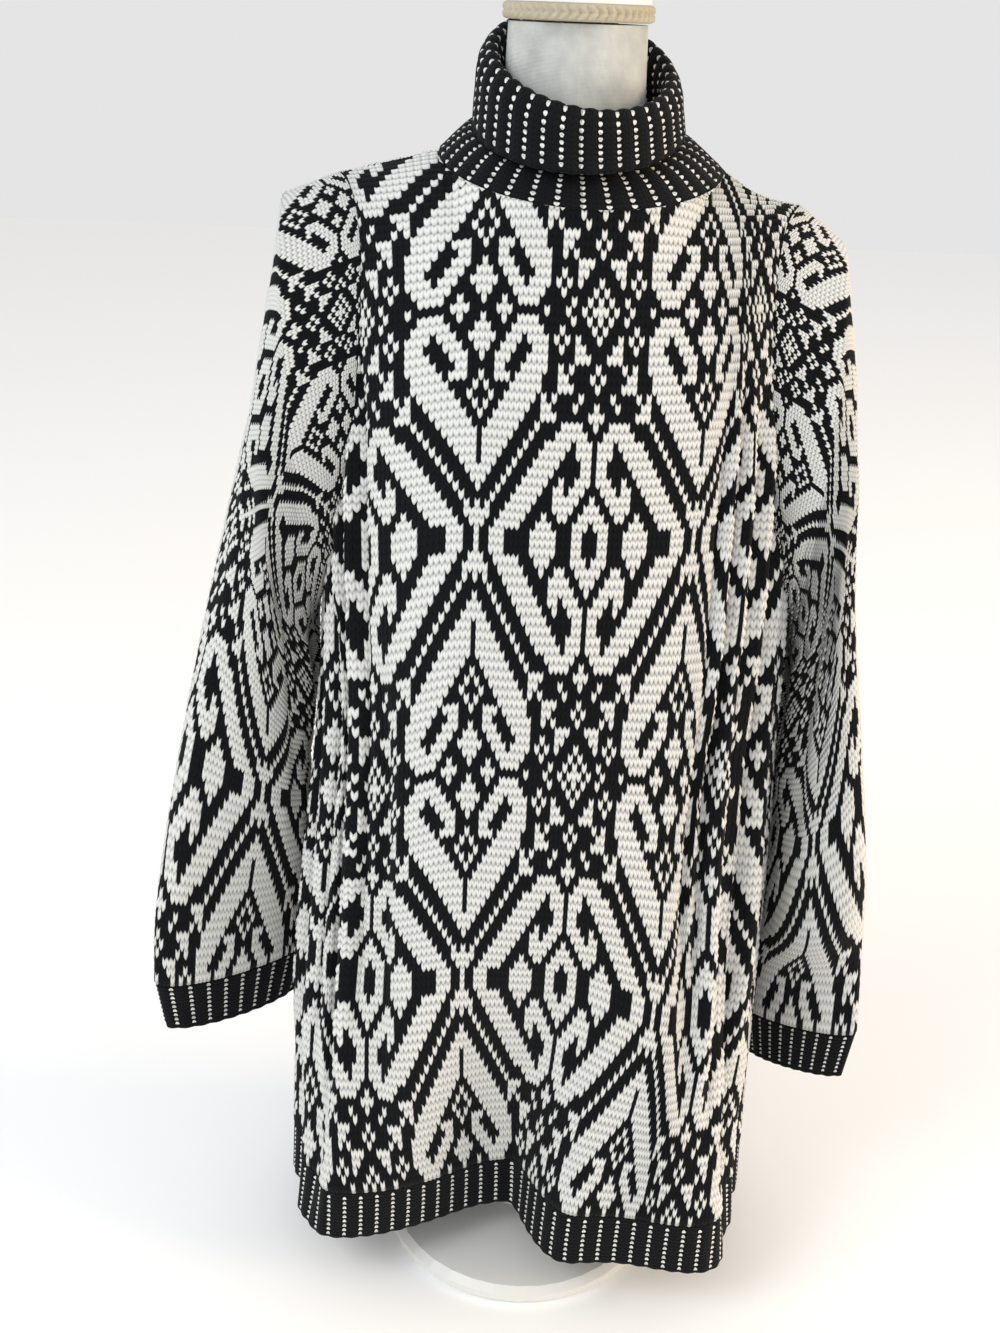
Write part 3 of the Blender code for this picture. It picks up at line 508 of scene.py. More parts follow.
def yarn(name, lit, shaded, relief, sheen, roughness=0.85):
    """Cotton and wool yarn: two tones that wander over the cloth, painted shade at stitch edges, fine fuzz.
    """
    made = bpy.data.materials.new(name)
    made.use_nodes = True
    tree = made.node_tree
    nodes, links = tree.nodes, tree.links
    shader = nodes["Principled BSDF"]
    shader.inputs["Roughness"].default_value = roughness
    shader.inputs["Sheen Weight"].default_value = sheen
    shader.inputs["Sheen Roughness"].default_value = 0.5
    shader.inputs["Specular IOR Level"].default_value = 0.12

    def value(operation, a, b=None):
        node = nodes.new("ShaderNodeMath")
        node.operation = operation
        for socket, given in zip(node.inputs, (a, b)):
            if given is None:
                continue
            if isinstance(given, (int, float)):
                socket.default_value = given
            else:
                links.new(given, socket)
        return node.outputs[0]

    place = nodes.new("ShaderNodeTexCoord")
    tones = two_tones(tree, lit, shaded, noise_on(tree, place, 60.0, 4.0))

    stitches = nodes.new("ShaderNodeUVMap")
    stitches.uv_map = "stitches"
    parts = nodes.new("ShaderNodeSeparateXYZ")
    links.new(stitches.outputs["UV"], parts.inputs["Vector"])
    aside = value("SUBTRACT", value("FRACT", value("ADD", parts.outputs["X"], 0.5)), 0.5)
    wale = value("MULTIPLY", value("ABSOLUTE", aside), 2.0)
    course = value("FRACT", value("SUBTRACT", parts.outputs["Y"], value("MULTIPLY", wale, V_SLANT)))
    swell = value("SINE", value("MULTIPLY", course, math.pi))
    leg = value("SINE", value("MULTIPLY", value("MINIMUM", value("ADD", wale, 0.12), 1.0), math.pi))
    height = value("ADD", value("MULTIPLY", swell, LENGTH_SHARE), value("MULTIPLY", leg, WIDTH_SHARE))
    # Painted shade: the tone is multiplied towards (0.25, 0.25, 0.27) at each stitch's edges and row ends, in
    # the grooves between the stitches, where shade falls.
    painted_groove_shade = nodes.new("ShaderNodeMixRGB")
    painted_groove_shade.blend_type = "MULTIPLY"
    painted_groove_shade.inputs["Color2"].default_value = (0.25, 0.25, 0.27, 1.0)
    low = value("SUBTRACT", 1.0, value("MAXIMUM", value("MINIMUM", height, 1.0), 0.0))
    rim = value("POWER", low, 1.5)
    links.new(rim, painted_groove_shade.inputs["Fac"])
    links.new(tones, painted_groove_shade.inputs["Color1"])
    links.new(painted_groove_shade.outputs["Color"], shader.inputs["Base Color"])

    fuzz = noise_on(tree, place, 1400.0, 3.0)
    surface = value("ADD", value("MULTIPLY", height, 0.8), value("MULTIPLY", fuzz, 0.4))
    add_bump(tree, shader, surface, 0.8, relief)
    return made


black_yarn = yarn("black_yarn", (0.0045, 0.0052, 0.0070), (0.0028, 0.0032, 0.0044), 0.0010, sheen=0.03)
white_yarn = yarn("white_yarn", (0.80, 0.80, 0.775), (0.70, 0.70, 0.67), 0.0012, sheen=0.2)

# Soft folds too small for the solids: stitch line, half-width in stitches, height, the rows
# where each begins and ends, and how far the line wanders to the side by its top.
SMALL_FOLDS = {
    "front": (
        (-40.5, 1.9, -0.0070, 30, 205, 1.0), (-45.0, 1.9, 0.0072, 15, 190, 1.5),
        (-49.5, 1.8, -0.0070, 25, 180, 2.0), (-54.0, 2.0, 0.0068, 5, 185, 2.0),
        (-58.5, 1.9, -0.0064, 20, 175, 2.0), (-63.5, 2.2, 0.0060, 10, 170, 1.0),
        (-69.0, 2.2, -0.0048, 30, 190, 1.0), (-75.0, 2.6, 0.0050, 15, 180, 0.0),
        (-28.0, 7.0, -0.0016, 120, 190, 5.0), (38.5, 2.2, -0.0040, 60, 190, -1.5),
        (42.5, 2.1, 0.0050, 50, 200, -2.0), (47.0, 2.0, -0.0062, 40, 195, -2.0),
        (51.5, 2.0, 0.0066, 20, 190, -2.0), (56.0, 2.0, -0.0068, 15, 190, -2.0),
        (60.5, 1.9, 0.0066, 10, 190, -1.5), (65.0, 2.0, -0.0064, 5, 180, -1.0),
        (70.0, 2.1, 0.0058, 25, 180, -1.0), (76.0, 2.4, 0.0055, 10, 190, 0.0),
        (82.0, 2.4, -0.0045, 40, 175, 0.0), (30.0, 6.0, 0.0018, 140, 215, -6.0),
    ),
    "back": (
        (-82.0, 2.6, 0.0050, 15, 185, 0.0), (-76.0, 2.4, -0.0045, 30, 200, 1.0),
        (-69.0, 3.0, 0.0040, 5, 170, 2.0), (-58.0, 3.6, -0.0026, 40, 150, 3.0),
        (80.0, 2.6, 0.0050, 20, 190, 0.0), (73.5, 2.6, -0.0045, 35, 180, -1.0),
        (66.0, 3.0, 0.0036, 5, 160, -2.0), (55.0, 3.6, -0.0024, 50, 170, -4.0),
        (20.0, 8.0, 0.0022, 100, 220, -8.0), (-24.0, 8.0, 0.0020, 90, 210, 6.0),
    ),
}
FOLD_RISE, FOLD_FADE = 26.0, 34.0
# A stitch's relief in metres, how far its edges stand above its middle, in rows, and how much every stitch
# and a white one besides takes part in the swell of the rows
RELIEF = 0.0005
V_DEPTH = 0.75
SWELL_ALL, SWELL_WHITE = 0.3, 0.7
SAME_PLACE = 1e-7
# Stitch line of the figure's upright axis, and cell of its crossing
FIGURE_AT = {"front": (6, 24), "back": (0, 24)}


def small_folds(folds, u, t):
    """Sum of soft bells across the stitch lines, each rising and fading along its rows."""
    total = np.zeros(t.shape)
    for line, width, height, first, last, drift in folds:
        along = np.clip((t - first) / (last - first), 0.0, 1.0)
        away = u - line - drift * along**2
        bell = height * np.exp(-((away / width) ** 2))
        total += bell * smooth((t - first) / FOLD_RISE) * smooth((last - t) / FOLD_FADE)
    return total


def knitted(name, surface, folds, stitches, rows, figure_at, mirrored=False):
    """A knitted piece: the surface at half-stitch lines, raised mid-stitch, in the figure's two colours."""
    u = np.arange(stitches[0] - 0.5, stitches[1] + 0.75, 0.5)
    at_edge = np.arange(len(u)) % 2 == 0
    t = np.arange(rows + 1)[:, None] + np.where(at_edge, V_DEPTH, 0.0)[None, :]
    t = np.clip(t, 0.0, rows)
    t[0] = 0.0
    t[-1] = rows
    base = surface(u, t)
    level = surface(u, np.broadcast_to(np.arange(rows + 1.0)[:, None], t.shape))
    same = np.abs(np.diff(level, axis=1)).max(axis=-1) < SAME_PLACE
    at_seam = np.zeros(t.shape, bool)
    at_seam[:, :-1] |= same
    at_seam[:, 1:] |= same
    base[at_seam] = level[at_seam]
    side = -1.0 if mirrored else 1.0
    normals = normals_of(base) * side
    base = base + normals * small_folds(folds, u, t)[..., None]
    normals = normals_of(base) * side
    stitch = np.floor(u[:-1] + 0.5).astype(int)
    white = is_white(stitch[None, :], np.arange(rows)[:, None], *figure_at)
    near = np.zeros(t.shape)
    for dr in (0, 1):
        for dc in (0, 1):
            near[dr : dr + rows, dc : dc + len(u) - 1] += white * 0.25
    swell = np.where(np.arange(rows + 1) % 2, RELIEF, -RELIEF)[:, None]
    lift = np.where(at_edge, -RELIEF, RELIEF)[None, :] + (near * SWELL_WHITE + SWELL_ALL) * swell
    lift = lift + near * RELIEF
    outer = base + normals * lift[..., None]
    uv = np.stack([np.broadcast_to(u, t.shape), t / 2.0], axis=-1)
    return shell(name, outer, base, normals, white.astype(int), uv, turned=mirrored)


for facing in ("front", "back"):
    low, high = HALF_STITCHES[facing]
    panel = knitted(
        facing + "_knit",
        lambda u, t: panel_cloth(facing, u, t),
        SMALL_FOLDS[facing],
        (int(-low + 0.5), int(high - 0.5)),
        PANEL_ROWS,
        FIGURE_AT[facing],
    )
    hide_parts(facing)
    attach(panel, "root")

# The sleeves are knitted in the same yarn and figure and taper to the cuff. They are sewn along the dropped
# armholes, hang empty beside the body and fold over themselves above the cuffs.
SLEEVE_COLUMNS = ("share", "outer", "inner", "front", "back")
RIGHT_SLEEVE = (
    (0.07, (-0.190, 0.004, 0.8640), (-0.172, 0.006, 0.573), (-0.178, -0.072, 0.715), (-0.180, 0.082, 0.712)),
    (0.16, (-0.196, 0.006, 0.8030), (-0.173, 0.018, 0.546), (-0.196, -0.066, 0.668), (-0.198, 0.086, 0.668)),
    (0.27, (-0.211, 0.008, 0.7350), (-0.174, 0.026, 0.508), (-0.201, -0.056, 0.610), (-0.212, 0.082, 0.614)),
    (0.36, (-0.226, 0.006, 0.6790), (-0.179, 0.030, 0.472), (-0.204, -0.048, 0.562), (-0.220, 0.076, 0.566)),
    (0.45, (-0.240, 0.002, 0.6210), (-0.183, 0.032, 0.435), (-0.207, -0.042, 0.512), (-0.226, 0.068, 0.518)),
    (0.55, (-0.254, -0.008, 0.5590), (-0.184, 0.036, 0.396), (-0.212, -0.038, 0.462), (-0.232, 0.058, 0.470)),
    (0.66, (-0.269, -0.022, 0.4840), (-0.186, 0.044, 0.350), (-0.220, -0.032, 0.405), (-0.238, 0.046, 0.412)),
    (0.78, (-0.284, -0.034, 0.4000), (-0.187, 0.050, 0.306), (-0.230, -0.024, 0.344), (-0.246, 0.036, 0.352)),
    (0.90, (-0.297, -0.042, 0.3180), (-0.188, 0.052, 0.272), (-0.238, -0.020, 0.290), (-0.250, 0.028, 0.296)),
    (1.00, (-0.301, -0.044, 0.2590), (-0.189, 0.050, 0.242), (-0.242, -0.018, 0.249), (-0.252, 0.022, 0.253)),
)
LEFT_SLEEVE = (
    (0.07, (0.184, 0.002, 0.8470), (0.176, 0.006, 0.570), (0.178, -0.074, 0.708), (0.181, 0.082, 0.706)),
    (0.16, (0.193, -0.002, 0.7900), (0.181, 0.016, 0.542), (0.192, -0.072, 0.658), (0.197, 0.084, 0.660)),
    (0.27, (0.201, -0.006, 0.7200), (0.184, 0.022, 0.503), (0.197, -0.070, 0.600), (0.206, 0.080, 0.604)),
    (0.36, (0.209, -0.010, 0.6600), (0.186, 0.026, 0.466), (0.200, -0.068, 0.552), (0.213, 0.074, 0.556)),
    (0.45, (0.218, -0.014, 0.6050), (0.187, 0.028, 0.427), (0.204, -0.067, 0.503), (0.219, 0.066, 0.508)),
    (0.55, (0.229, -0.018, 0.5400), (0.188, 0.032, 0.386), (0.209, -0.066, 0.452), (0.225, 0.056, 0.456)),
    (0.66, (0.241, -0.024, 0.4680), (0.189, 0.038, 0.340), (0.215, -0.064, 0.394), (0.231, 0.048, 0.398)),
    (0.78, (0.253, -0.030, 0.3850), (0.190, 0.042, 0.288), (0.222, -0.056, 0.330), (0.238, 0.040, 0.334)),
    (0.90, (0.262, -0.034, 0.2950), (0.190, 0.044, 0.236), (0.226, -0.018, 0.268), (0.238, 0.028, 0.268)),
    (1.00, (0.268, -0.034, 0.2280), (0.190, 0.044, 0.192), (0.228, -0.012, 0.212), (0.236, 0.022, 0.212)),
)
SLEEVE_ROWS = {"right": RIGHT_SLEEVE, "left": LEFT_SLEEVE}
SLEEVE_KNIT_ROWS = 210
SLEEVE_ROWS_UP = (0.0, 44.0, 94.0, 144.0, 194.0, 210.0)
SLEEVE_SHARES_UP = {
    "right": (0.0, 0.270, 0.508, 0.712, 0.932, 1.0),
    "left": (0.0, 0.320, 0.550, 0.740, 0.940, 1.0),
}
SLEEVE_FIGURE_AT = {"right": (20, 22), "left": (18, 22)}
SEAM_GAP = 0.0003
ARMHOLE_GAP = SEAM_GAP * 1.6
ARMHOLE_HEIGHTS, ARMHOLE_STEPS = 40, 14
HEAD_RINGS = 7
HEAD_SLOPE = 0.25


def armhole(side, count):
    """The armhole's edge, from the underarm up the front, over the shoulder and down the back."""
    heights = np.linspace(UNDERARM, YOKE_FOOT, ARMHOLE_HEIGHTS)
    halves = []
    for facing, share in (("front", side), ("back", -side)):
        base = 0.0 if facing == "front" else 180.0
        low = body_point(base + share * panel_end(heights, facing), heights)
        high = yoke(np.array([share * 0.5, share]), facing, ARMHOLE_STEPS)[1:, 1]
        halves.append(np.concatenate([low, high]))
    halves[0][-1] = halves[1][-1] = (halves[0][-1] + halves[1][-1]) / 2
    curves = []
    for half, reverse in ((halves[0], False), (halves[1], True)):
        lengths = lengths_along(half)
        turn = lengths / lengths[-1] * np.pi
        curves.append((2 * np.pi - turn[::-1], half[::-1]) if reverse else (turn, half))
    turns = np.concatenate([curves[0][0], curves[1][0][1:]])
    points = np.concatenate([curves[0][1], curves[1][1][1:]])
    wanted = np.linspace(0.0, 2 * np.pi, count)
    return placed(wanted, turns, points)


def sleeve_rings(name, rings=84, count=241):
    """Rings of a sleeve: the armhole, then for each share an oval through the points of its four sides."""
    side = -1 if name == "right" else 1
    turn = np.linspace(0.0, 2 * np.pi, count)
    shares = np.linspace(SLEEVE_ROWS[name][0][0], 1.0, rings)
    at = {n: through(SLEEVE_ROWS[name], SLEEVE_COLUMNS, n, shares, by="share") for n in SLEEVE_COLUMNS[1:]}
    middle, half = (at["outer"] + at["inner"]) / 2, (at["inner"] - at["outer"]) / 2
    ahead, behind = at["front"] - middle, at["back"] - middle
    cosine, sine = np.cos(turn)[None, :, None], np.sin(turn)[None, :, None]
    out = np.where(sine > 0, ahead[:, None], -behind[:, None]) * sine
    ovals = middle[:, None] + half[:, None] * cosine + out
    first = armhole(side, count) + np.array([side, 0.0, 0.0]) * ARMHOLE_GAP
    steps = np.linspace(0.0, 1.0, HEAD_RINGS)[:-1, None, None]
    return np.concatenate([first * (1 - steps) + ovals[:1] * steps, ovals])


def sleeve_cloth(rings, name, u, t):
    """A sleeve's points at stitch line u, counted from the line down its front, and row t, from the cuff up.

    Rows start level at the cuff, the same way apart all round, and turn to lie along the armhole at the top,
    so that they crowd on the shorter inner side. Stitches are counted off along each row."""
    lines = rings[::-1]
    along = lengths_along(lines)
    length = along[-1]
    x = np.interp(np.arange(SLEEVE_KNIT_ROWS + 1.0), SLEEVE_ROWS_UP, SLEEVE_SHARES_UP[name])[:, None]
    share = length.max() / length * (x**3 - 2 * x**2 + x) + (3 * x**2 - 2 * x**3)
    share = share + HEAD_SLOPE * (x**3 - x**2)
    grid = np.empty((len(x), len(length), 3))
    for n in range(len(length)):
        grid[:, n] = placed(share[:, n] * length[n], along[:, n], lines[:, n])
    around = lengths_along(grid, axis=1)
    front = rings.shape[1] // 4
    cloth = np.empty((len(x), len(u), 3))
    for k in range(len(x)):
        s = np.clip(around[k, front] + u * STITCH, 0.0, around[k, -1])
        cloth[k] = placed(s, around[k], grid[k])
    i = np.clip(t.astype(int), 0, len(x) - 2)
    f = (t - i)[..., None]
    j = np.broadcast_to(np.arange(len(u)), t.shape)
    return cloth[i, j] * (1 - f) + cloth[i + 1, j] * f


SLEEVE_FOLDS = {
    "right": (
        (16.0, 3.5, 0.0040, 10, 150, 6.0), (-14.0, 4.0, -0.0040, 20, 140, -4.0),
        (-26.0, 4.5, 0.0040, 60, 160, -8.0), (-38.0, 5.0, -0.0040, 80, 165, -10.0),
        (60.0, 6.0, 0.0030, 20, 120, 10.0),
    ),
    "left": (
        (14.0, 3.5, 0.0034, 20, 150, 5.0), (-14.0, 4.0, -0.0040, 30, 150, -4.0),
        (-27.0, 4.5, 0.0040, 50, 160, -8.0), (-40.0, 5.0, -0.0036, 70, 165, -10.0),
        (58.0, 6.0, 0.0030, 10, 120, 8.0),
    ),
}
for name in ("right", "left"):
    rings = sleeve_rings(name)
    steps = np.linalg.norm(np.diff(rings, axis=1), axis=2)
    ahead = steps[:, : rings.shape[1] // 4].sum(axis=1).max() / STITCH
    around = steps[:, rings.shape[1] // 4 :].sum(axis=1).max() / STITCH
    piece = knitted(
        f"sleeve_{name}_knit",
        lambda u, t: sleeve_cloth(rings, name, u, t),
        SLEEVE_FOLDS[name],
        (-int(ahead) - 1, int(around) + 1),
        SLEEVE_KNIT_ROWS,
        SLEEVE_FIGURE_AT[name],
        mirrored=name == "right",
    )
    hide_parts("sleeve_" + name)
    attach(piece, "root")

# The hem, cuffs and collar are ribbed in the same yarns: two raised black wales, then one sunk wale of white
# purl stitches that show as a chain of round dots. The hem and cuffs are knitted on to the body and sleeves,
# with a plain black row at each edge.
RIB_COLUMNS = 8
RIB_DEPTH = 0.0012
GROOVE_SHARPNESS = 1.4
RIB_WALES = 3.0
RIB_ROW = 0.0034
DOT_ROWS = 5
DOT_SHARE = 0.6
DOT_MARGIN = 0.05
DOT_WIDTH = 1.7
DOT_RISE = 0.0011
DOT_PINCH = 0.6
BAND_DOTS = 9
BAND_EDGE = 0.05
HEM_RIBS, CUFF_RIBS = 46, 20


def rib_cloth(surface, ribs, dots, edge, wrapped, turned=False):
    """Ribbing on a surface of places from 0 to 1, across and along: a cosine groove in each rib, and dots.

    Gives the plain points, the ribbed points, the normals, the white faces and the UVs."""
    columns = ribs * RIB_COLUMNS
    across = np.arange(columns + (0 if wrapped else 1)) / columns
    dotted = np.linspace(edge, 1.0 - edge, dots * DOT_ROWS + 1)
    along = np.concatenate([[0.0, edge * 0.5], dotted, [1.0 - edge * 0.5, 1.0]])
    phase = (np.arange(len(across)) % RIB_COLUMNS) / RIB_COLUMNS
    phase = np.where(phase > 0.5, phase - 1.0, phase)
    step = np.arange(len(along)) - 2
    beat = (step % DOT_ROWS) / DOT_ROWS
    in_dots = (step >= 0) & (step <= dots * DOT_ROWS)
    dot = np.where(in_dots, np.sin(np.pi * np.clip(beat / DOT_SHARE, 0.0, 1.0)), 0.0)
    pinch = np.where(np.abs(np.abs(phase) - 1 / RIB_COLUMNS) < 0.01, 1.0, 0.0) * np.sign(phase)
    shift = pinch[None, :] * (dot[:, None] - 1.0) * DOT_PINCH / columns
    s = across[None, :] + shift
    base = surface(s, np.broadcast_to(along[:, None], s.shape))
    normals = normals_of(base, wrapped) * (-1.0 if turned else 1.0)
    groove = -RIB_DEPTH * (0.5 + 0.5 * np.cos(2 * np.pi * phase)) ** GROOVE_SHARPNESS
    roundness = np.clip(1.0 - (np.abs(phase) * RIB_COLUMNS / DOT_WIDTH) ** 2, 0.0, 1.0)
    bump = DOT_RISE * dot[:, None] * roundness[None, :]
    outer = base + normals * (groove[None, :] + bump)[..., None]
    face_phase = (np.arange(columns) % RIB_COLUMNS + 0.5) / RIB_COLUMNS
    face_phase = np.minimum(face_phase, 1.0 - face_phase)
    face_beat = (step[:-1] % DOT_ROWS) / DOT_ROWS
    face_in = (step[:-1] >= 0) & (step[:-1] < dots * DOT_ROWS) & (face_beat < DOT_SHARE - DOT_MARGIN)
    white = (face_in[:, None] & (face_phase < 1.0 / RIB_COLUMNS)[None, :]).astype(int)
    length = np.linalg.norm(np.diff(base[:, 0], axis=0), axis=1).sum()
    uv = np.stack(np.broadcast_arrays(s * ribs * RIB_WALES, (along * length / RIB_ROW)[:, None]), axis=-1)
    return base, outer, normals, white, uv


def ribbed(name, surface, ribs, wrapped, turned=False):
    """A ribbed band at the hem or at a cuff."""
    base, outer, normals, white, uv = rib_cloth(surface, ribs, BAND_DOTS, BAND_EDGE, wrapped, turned)
    return shell(name, outer, base, normals, white, uv, wrapped, 2, turned)


def hem_surface(facing):
    """The surface of the hem's ribbing under one panel."""

    def surface(s, v):
        """A panel's section at each height, evenly spaced along the cloth from seam to seam."""
        z = HEM_Z + v[:, 0] * (RIB_TOP - SEAM_GAP - HEM_Z)
        return np.array([panel_section(z[k], s[k] * 2.0 - 1.0, facing) for k in range(len(z))])

    return surface


for facing in ("front", "back"):
    rib = ribbed(f"hem_rib_{facing}_knit", hem_surface(facing), HEM_RIBS, False)
    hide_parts("hem_rib_" + facing)
    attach(rib, "root")

CUFF_GAP = 0.0005
CUFF_LENGTH = 0.044
CUFF_NARROWING = 0.86


def cuff_surface(name):
    """The surface of a cuff's ribbing at the end of one sleeve."""
    last = sleeve_rings(name)[-3:]
    direction = unit((last[-1] - last[-2]).mean(axis=0))
    ring = last[-1]
    middle = ring[:-1].mean(axis=0)
    lengths = lengths_along(ring)

    def surface(s, v):
        """The sleeve's last ring, carried down its direction and drawn in towards its middle."""
        points = placed((s % 1.0) * lengths[-1], lengths, ring)
        size = (1.0 + (CUFF_NARROWING - 1.0) * v)[..., None]
        return middle + (points - middle) * size + direction * (CUFF_GAP + v[..., None] * CUFF_LENGTH)

    return surface


for name in ("right", "left"):
    cuff = ribbed(f"cuff_{name}_knit", cuff_surface(name), CUFF_RIBS, True, turned=name == "left")
    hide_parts("cuff_" + name)
    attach(cuff, "root")

# The collar is one tube of the same ribbing, knitted on round the neckline. It stands up, turns over at the
# top and hangs down outside itself, so both its faces show: the inner one round the neck and the outer one
# on the fold.
COLLAR_COLUMNS = ("middle_x", "middle_y", "half_width", "half_depth", "z", "tilt", "side_lift", "lean")
COLLAR_ROWS = (
    (0.0050, -0.0045, 0.0760, 0.0715, 0.9055, 0.23, 0.0030, -0.04),
    (0.0040, -0.0020, 0.0590, 0.0620, 0.9150, 0.27, 0.0, -0.04),
    (0.0040, -0.0005, 0.0550, 0.0580, 0.9310, 0.36, 0.0, -0.08),
    (0.0035, 0.0000, 0.0545, 0.0575, 0.9450, 0.42, 0.0, -0.11),
    (0.0035, 0.0000, 0.0580, 0.0605, 0.9530, 0.43, 0.0, -0.12),
    (0.0030, -0.0005, 0.0620, 0.0655, 0.9485, 0.42, 0.0, -0.11),
    (0.0030, -0.0025, 0.0650, 0.0720, 0.9320, 0.35, 0.0, -0.06),
    (0.0035, -0.0050, 0.0665, 0.0800, 0.9150, 0.27, 0.0, 0.0),
)
COLLAR_WALL = 0.0028
COLLAR_RIBS = 35
COLLAR_DOTS = 25
COLLAR_EDGE = 0.012


def collar_surface(s, v):
    """The collar as ovals along its profile: up from the neckline, over the fold and down outside itself."""
    turn = s * 2 * np.pi
    rows = [(0.0, *NECK_MIDDLE, *NECK_HALF, NECK_Z, NECK_TILT, NECK_SIDE_LIFT, NECK_LEAN)]
    reach = 0.0
    for row in COLLAR_ROWS:
        reach += math.hypot(row[2] - rows[-1][3], row[4] - rows[-1][5])
        rows.append((reach, *row))
    rows = [(row[0] / reach, *row[1:]) for row in rows]
    at = {n: through(rows, ("path",) + COLLAR_COLUMNS, n, v, by="path") for n in COLLAR_COLUMNS}
    x = at["middle_x"] + at["half_width"] * np.sin(turn)
    y = at["middle_y"] - at["half_depth"] * np.cos(turn)
    z = at["z"] + at["tilt"] * y + at["lean"] * x + at["side_lift"] * np.sin(turn) ** 2
    return np.stack([x, y, z], axis=-1)


def tube(name, outer, inner, finishes, looks, uv):
    """A closed ring of cloth: an outer and an inner face with the same points, joined along both rims."""
    rows, columns = outer.shape[:2]
    count = rows * columns
    side = grid_faces(rows, columns, wrapped=True).reshape(-1, 4)
    low = np.append(np.arange(columns), 0)
    top = low + count - columns
    low_rim = np.stack([low[1:], low[:-1], low[:-1] + count, low[1:] + count], axis=-1)
    top_rim = np.stack([top[:-1], top[1:], top[1:] + count, top[:-1] + count], axis=-1)
    faces = np.concatenate([side, side[:, ::-1] + count, low_rim, top_rim])
    looks = np.concatenate([looks.ravel(), looks.ravel(), np.zeros(len(low_rim) + len(top_rim))])
    points = np.concatenate([outer.reshape(-1, 3), inner.reshape(-1, 3)])
    return new_piece(name, points, [faces], finishes, [looks], np.concatenate([uv.reshape(-1, 2)] * 2))


base, outer, normals, white, uv = rib_cloth(collar_surface, COLLAR_RIBS, COLLAR_DOTS, COLLAR_EDGE, True)
inner = base - normals * COLLAR_WALL - (outer - base)
collar = tube("collar_knit", outer, inner, (black_yarn, white_yarn), white, uv)
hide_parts("collar")
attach(collar, "root")

# The dress form is padded and covered with cream linen. A woven braid hides the cover's upper edge, under a
# painted wooden cap. Its foot and pole are painted steel and the round base is painted wood.
BRAID_MIDDLE = 0.9830
BRAID_DROP, BRAID_HALF = 0.0012, 0.0052
BRAID_INSIDE, BRAID_RADIUS = 0.0449, 0.0458
# The loops: their count round the neck, their slant, the band's and the loops' thickness, and the depth and
# half-width of the furrow between the two rows
LOOPS, LOOP_SLANT = 25.0, 1.9
BAND_RISE, LOOP_RISE = 0.0008, 0.0020
FURROW, FURROW_WIDTH = 0.0010, 0.16


def plain_finish(name, colour, second, roughness, scale, relief, metallic=0.0, weave=0.0):
    """A painted or woven finish: two close tones by noise, a fine bump and, for linen, threads both ways."""
    made = bpy.data.materials.new(name)
    made.use_nodes = True
    tree = made.node_tree
    nodes, links = tree.nodes, tree.links
    shader = nodes["Principled BSDF"]
    shader.inputs["Roughness"].default_value = roughness
    shader.inputs["Metallic"].default_value = metallic
    place = nodes.new("ShaderNodeTexCoord")
    height = noise_on(tree, place, scale, 5.0)
    links.new(two_tones(tree, colour, second, height), shader.inputs["Base Color"])
    if weave:
        both = nodes.new("ShaderNodeMath")
        both.operation = "ADD"
        for direction, socket in zip(("X", "Z"), both.inputs):
            threads = nodes.new("ShaderNodeTexWave")
            threads.bands_direction = direction
            threads.inputs["Scale"].default_value = weave
            threads.inputs["Distortion"].default_value = 1.5
            threads.inputs["Detail"].default_value = 2.0
            links.new(place.outputs["Object"], threads.inputs["Vector"])
            links.new(threads.outputs["Fac"], socket)
        height = both.outputs[0]
    add_bump(tree, shader, height, 0.5, relief)
    return made


linen = plain_finish("cream_linen", (0.90, 0.91, 0.87), (0.12, 0.13, 0.13), 0.85, 34.0, 0.0006, weave=420.0)
braid_thread = plain_finish("braid_thread", (0.50, 0.45, 0.34), (0.36, 0.31, 0.22), 0.8, 400.0, 0.0004)
off_white_paint = plain_finish("off_white_paint", (0.76, 0.75, 0.72), (0.70, 0.69, 0.66), 0.38, 8.0, 0.0001)
pale_steel = plain_finish(
    "pale_painted_steel", (0.70, 0.70, 0.69), (0.64, 0.64, 0.63), 0.35, 30.0, 0.0001, metallic=0.3
)
for node, finish in (("form_torso", linen), ("neck_cap", off_white_paint), ("form_foot", pale_steel),
                     ("stand_pole", pale_steel), ("stand_base", off_white_paint)):
    piece = bpy.data.objects[node]
    for place in piece.material_slots:
        place.material = finish


def braid_surface(columns=408, rows=13):
    """A flat band round the neck: two rows of slanting loops that meet in the middle like an ear of wheat.

    A loop is the absolute value of a sine round the neck, shifted with the distance from the middle."""
    turn = np.arange(columns) / columns * 2 * np.pi
    v = np.linspace(-1.0, 1.0, rows)
    turn, v = np.meshgrid(turn, v)
    loop = np.abs(np.sin(LOOPS * turn + LOOP_SLANT * np.abs(v)))
    body = np.sqrt(np.clip(1.0 - v**4, 0.0, 1.0))
    radius = BRAID_RADIUS + body * BAND_RISE + body * LOOP_RISE * loop
    radius = radius - FURROW * np.exp(-((v / FURROW_WIDTH) ** 2))
    z = BRAID_MIDDLE - BRAID_DROP + v * BRAID_HALF
    return np.stack([radius * np.sin(turn), -radius * np.cos(turn), z], axis=-1)


outer = braid_surface()
inner = outer.copy()
inner[..., :2] *= BRAID_INSIDE / np.linalg.norm(outer[..., :2], axis=-1, keepdims=True)
looks = np.zeros((outer.shape[0] - 1, outer.shape[1]))
uv = np.zeros(outer.shape[:2] + (2,))
braid = tube("neck_braid_woven", outer, inner, (braid_thread,), looks, uv)
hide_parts("neck_braid")
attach(braid, "root")

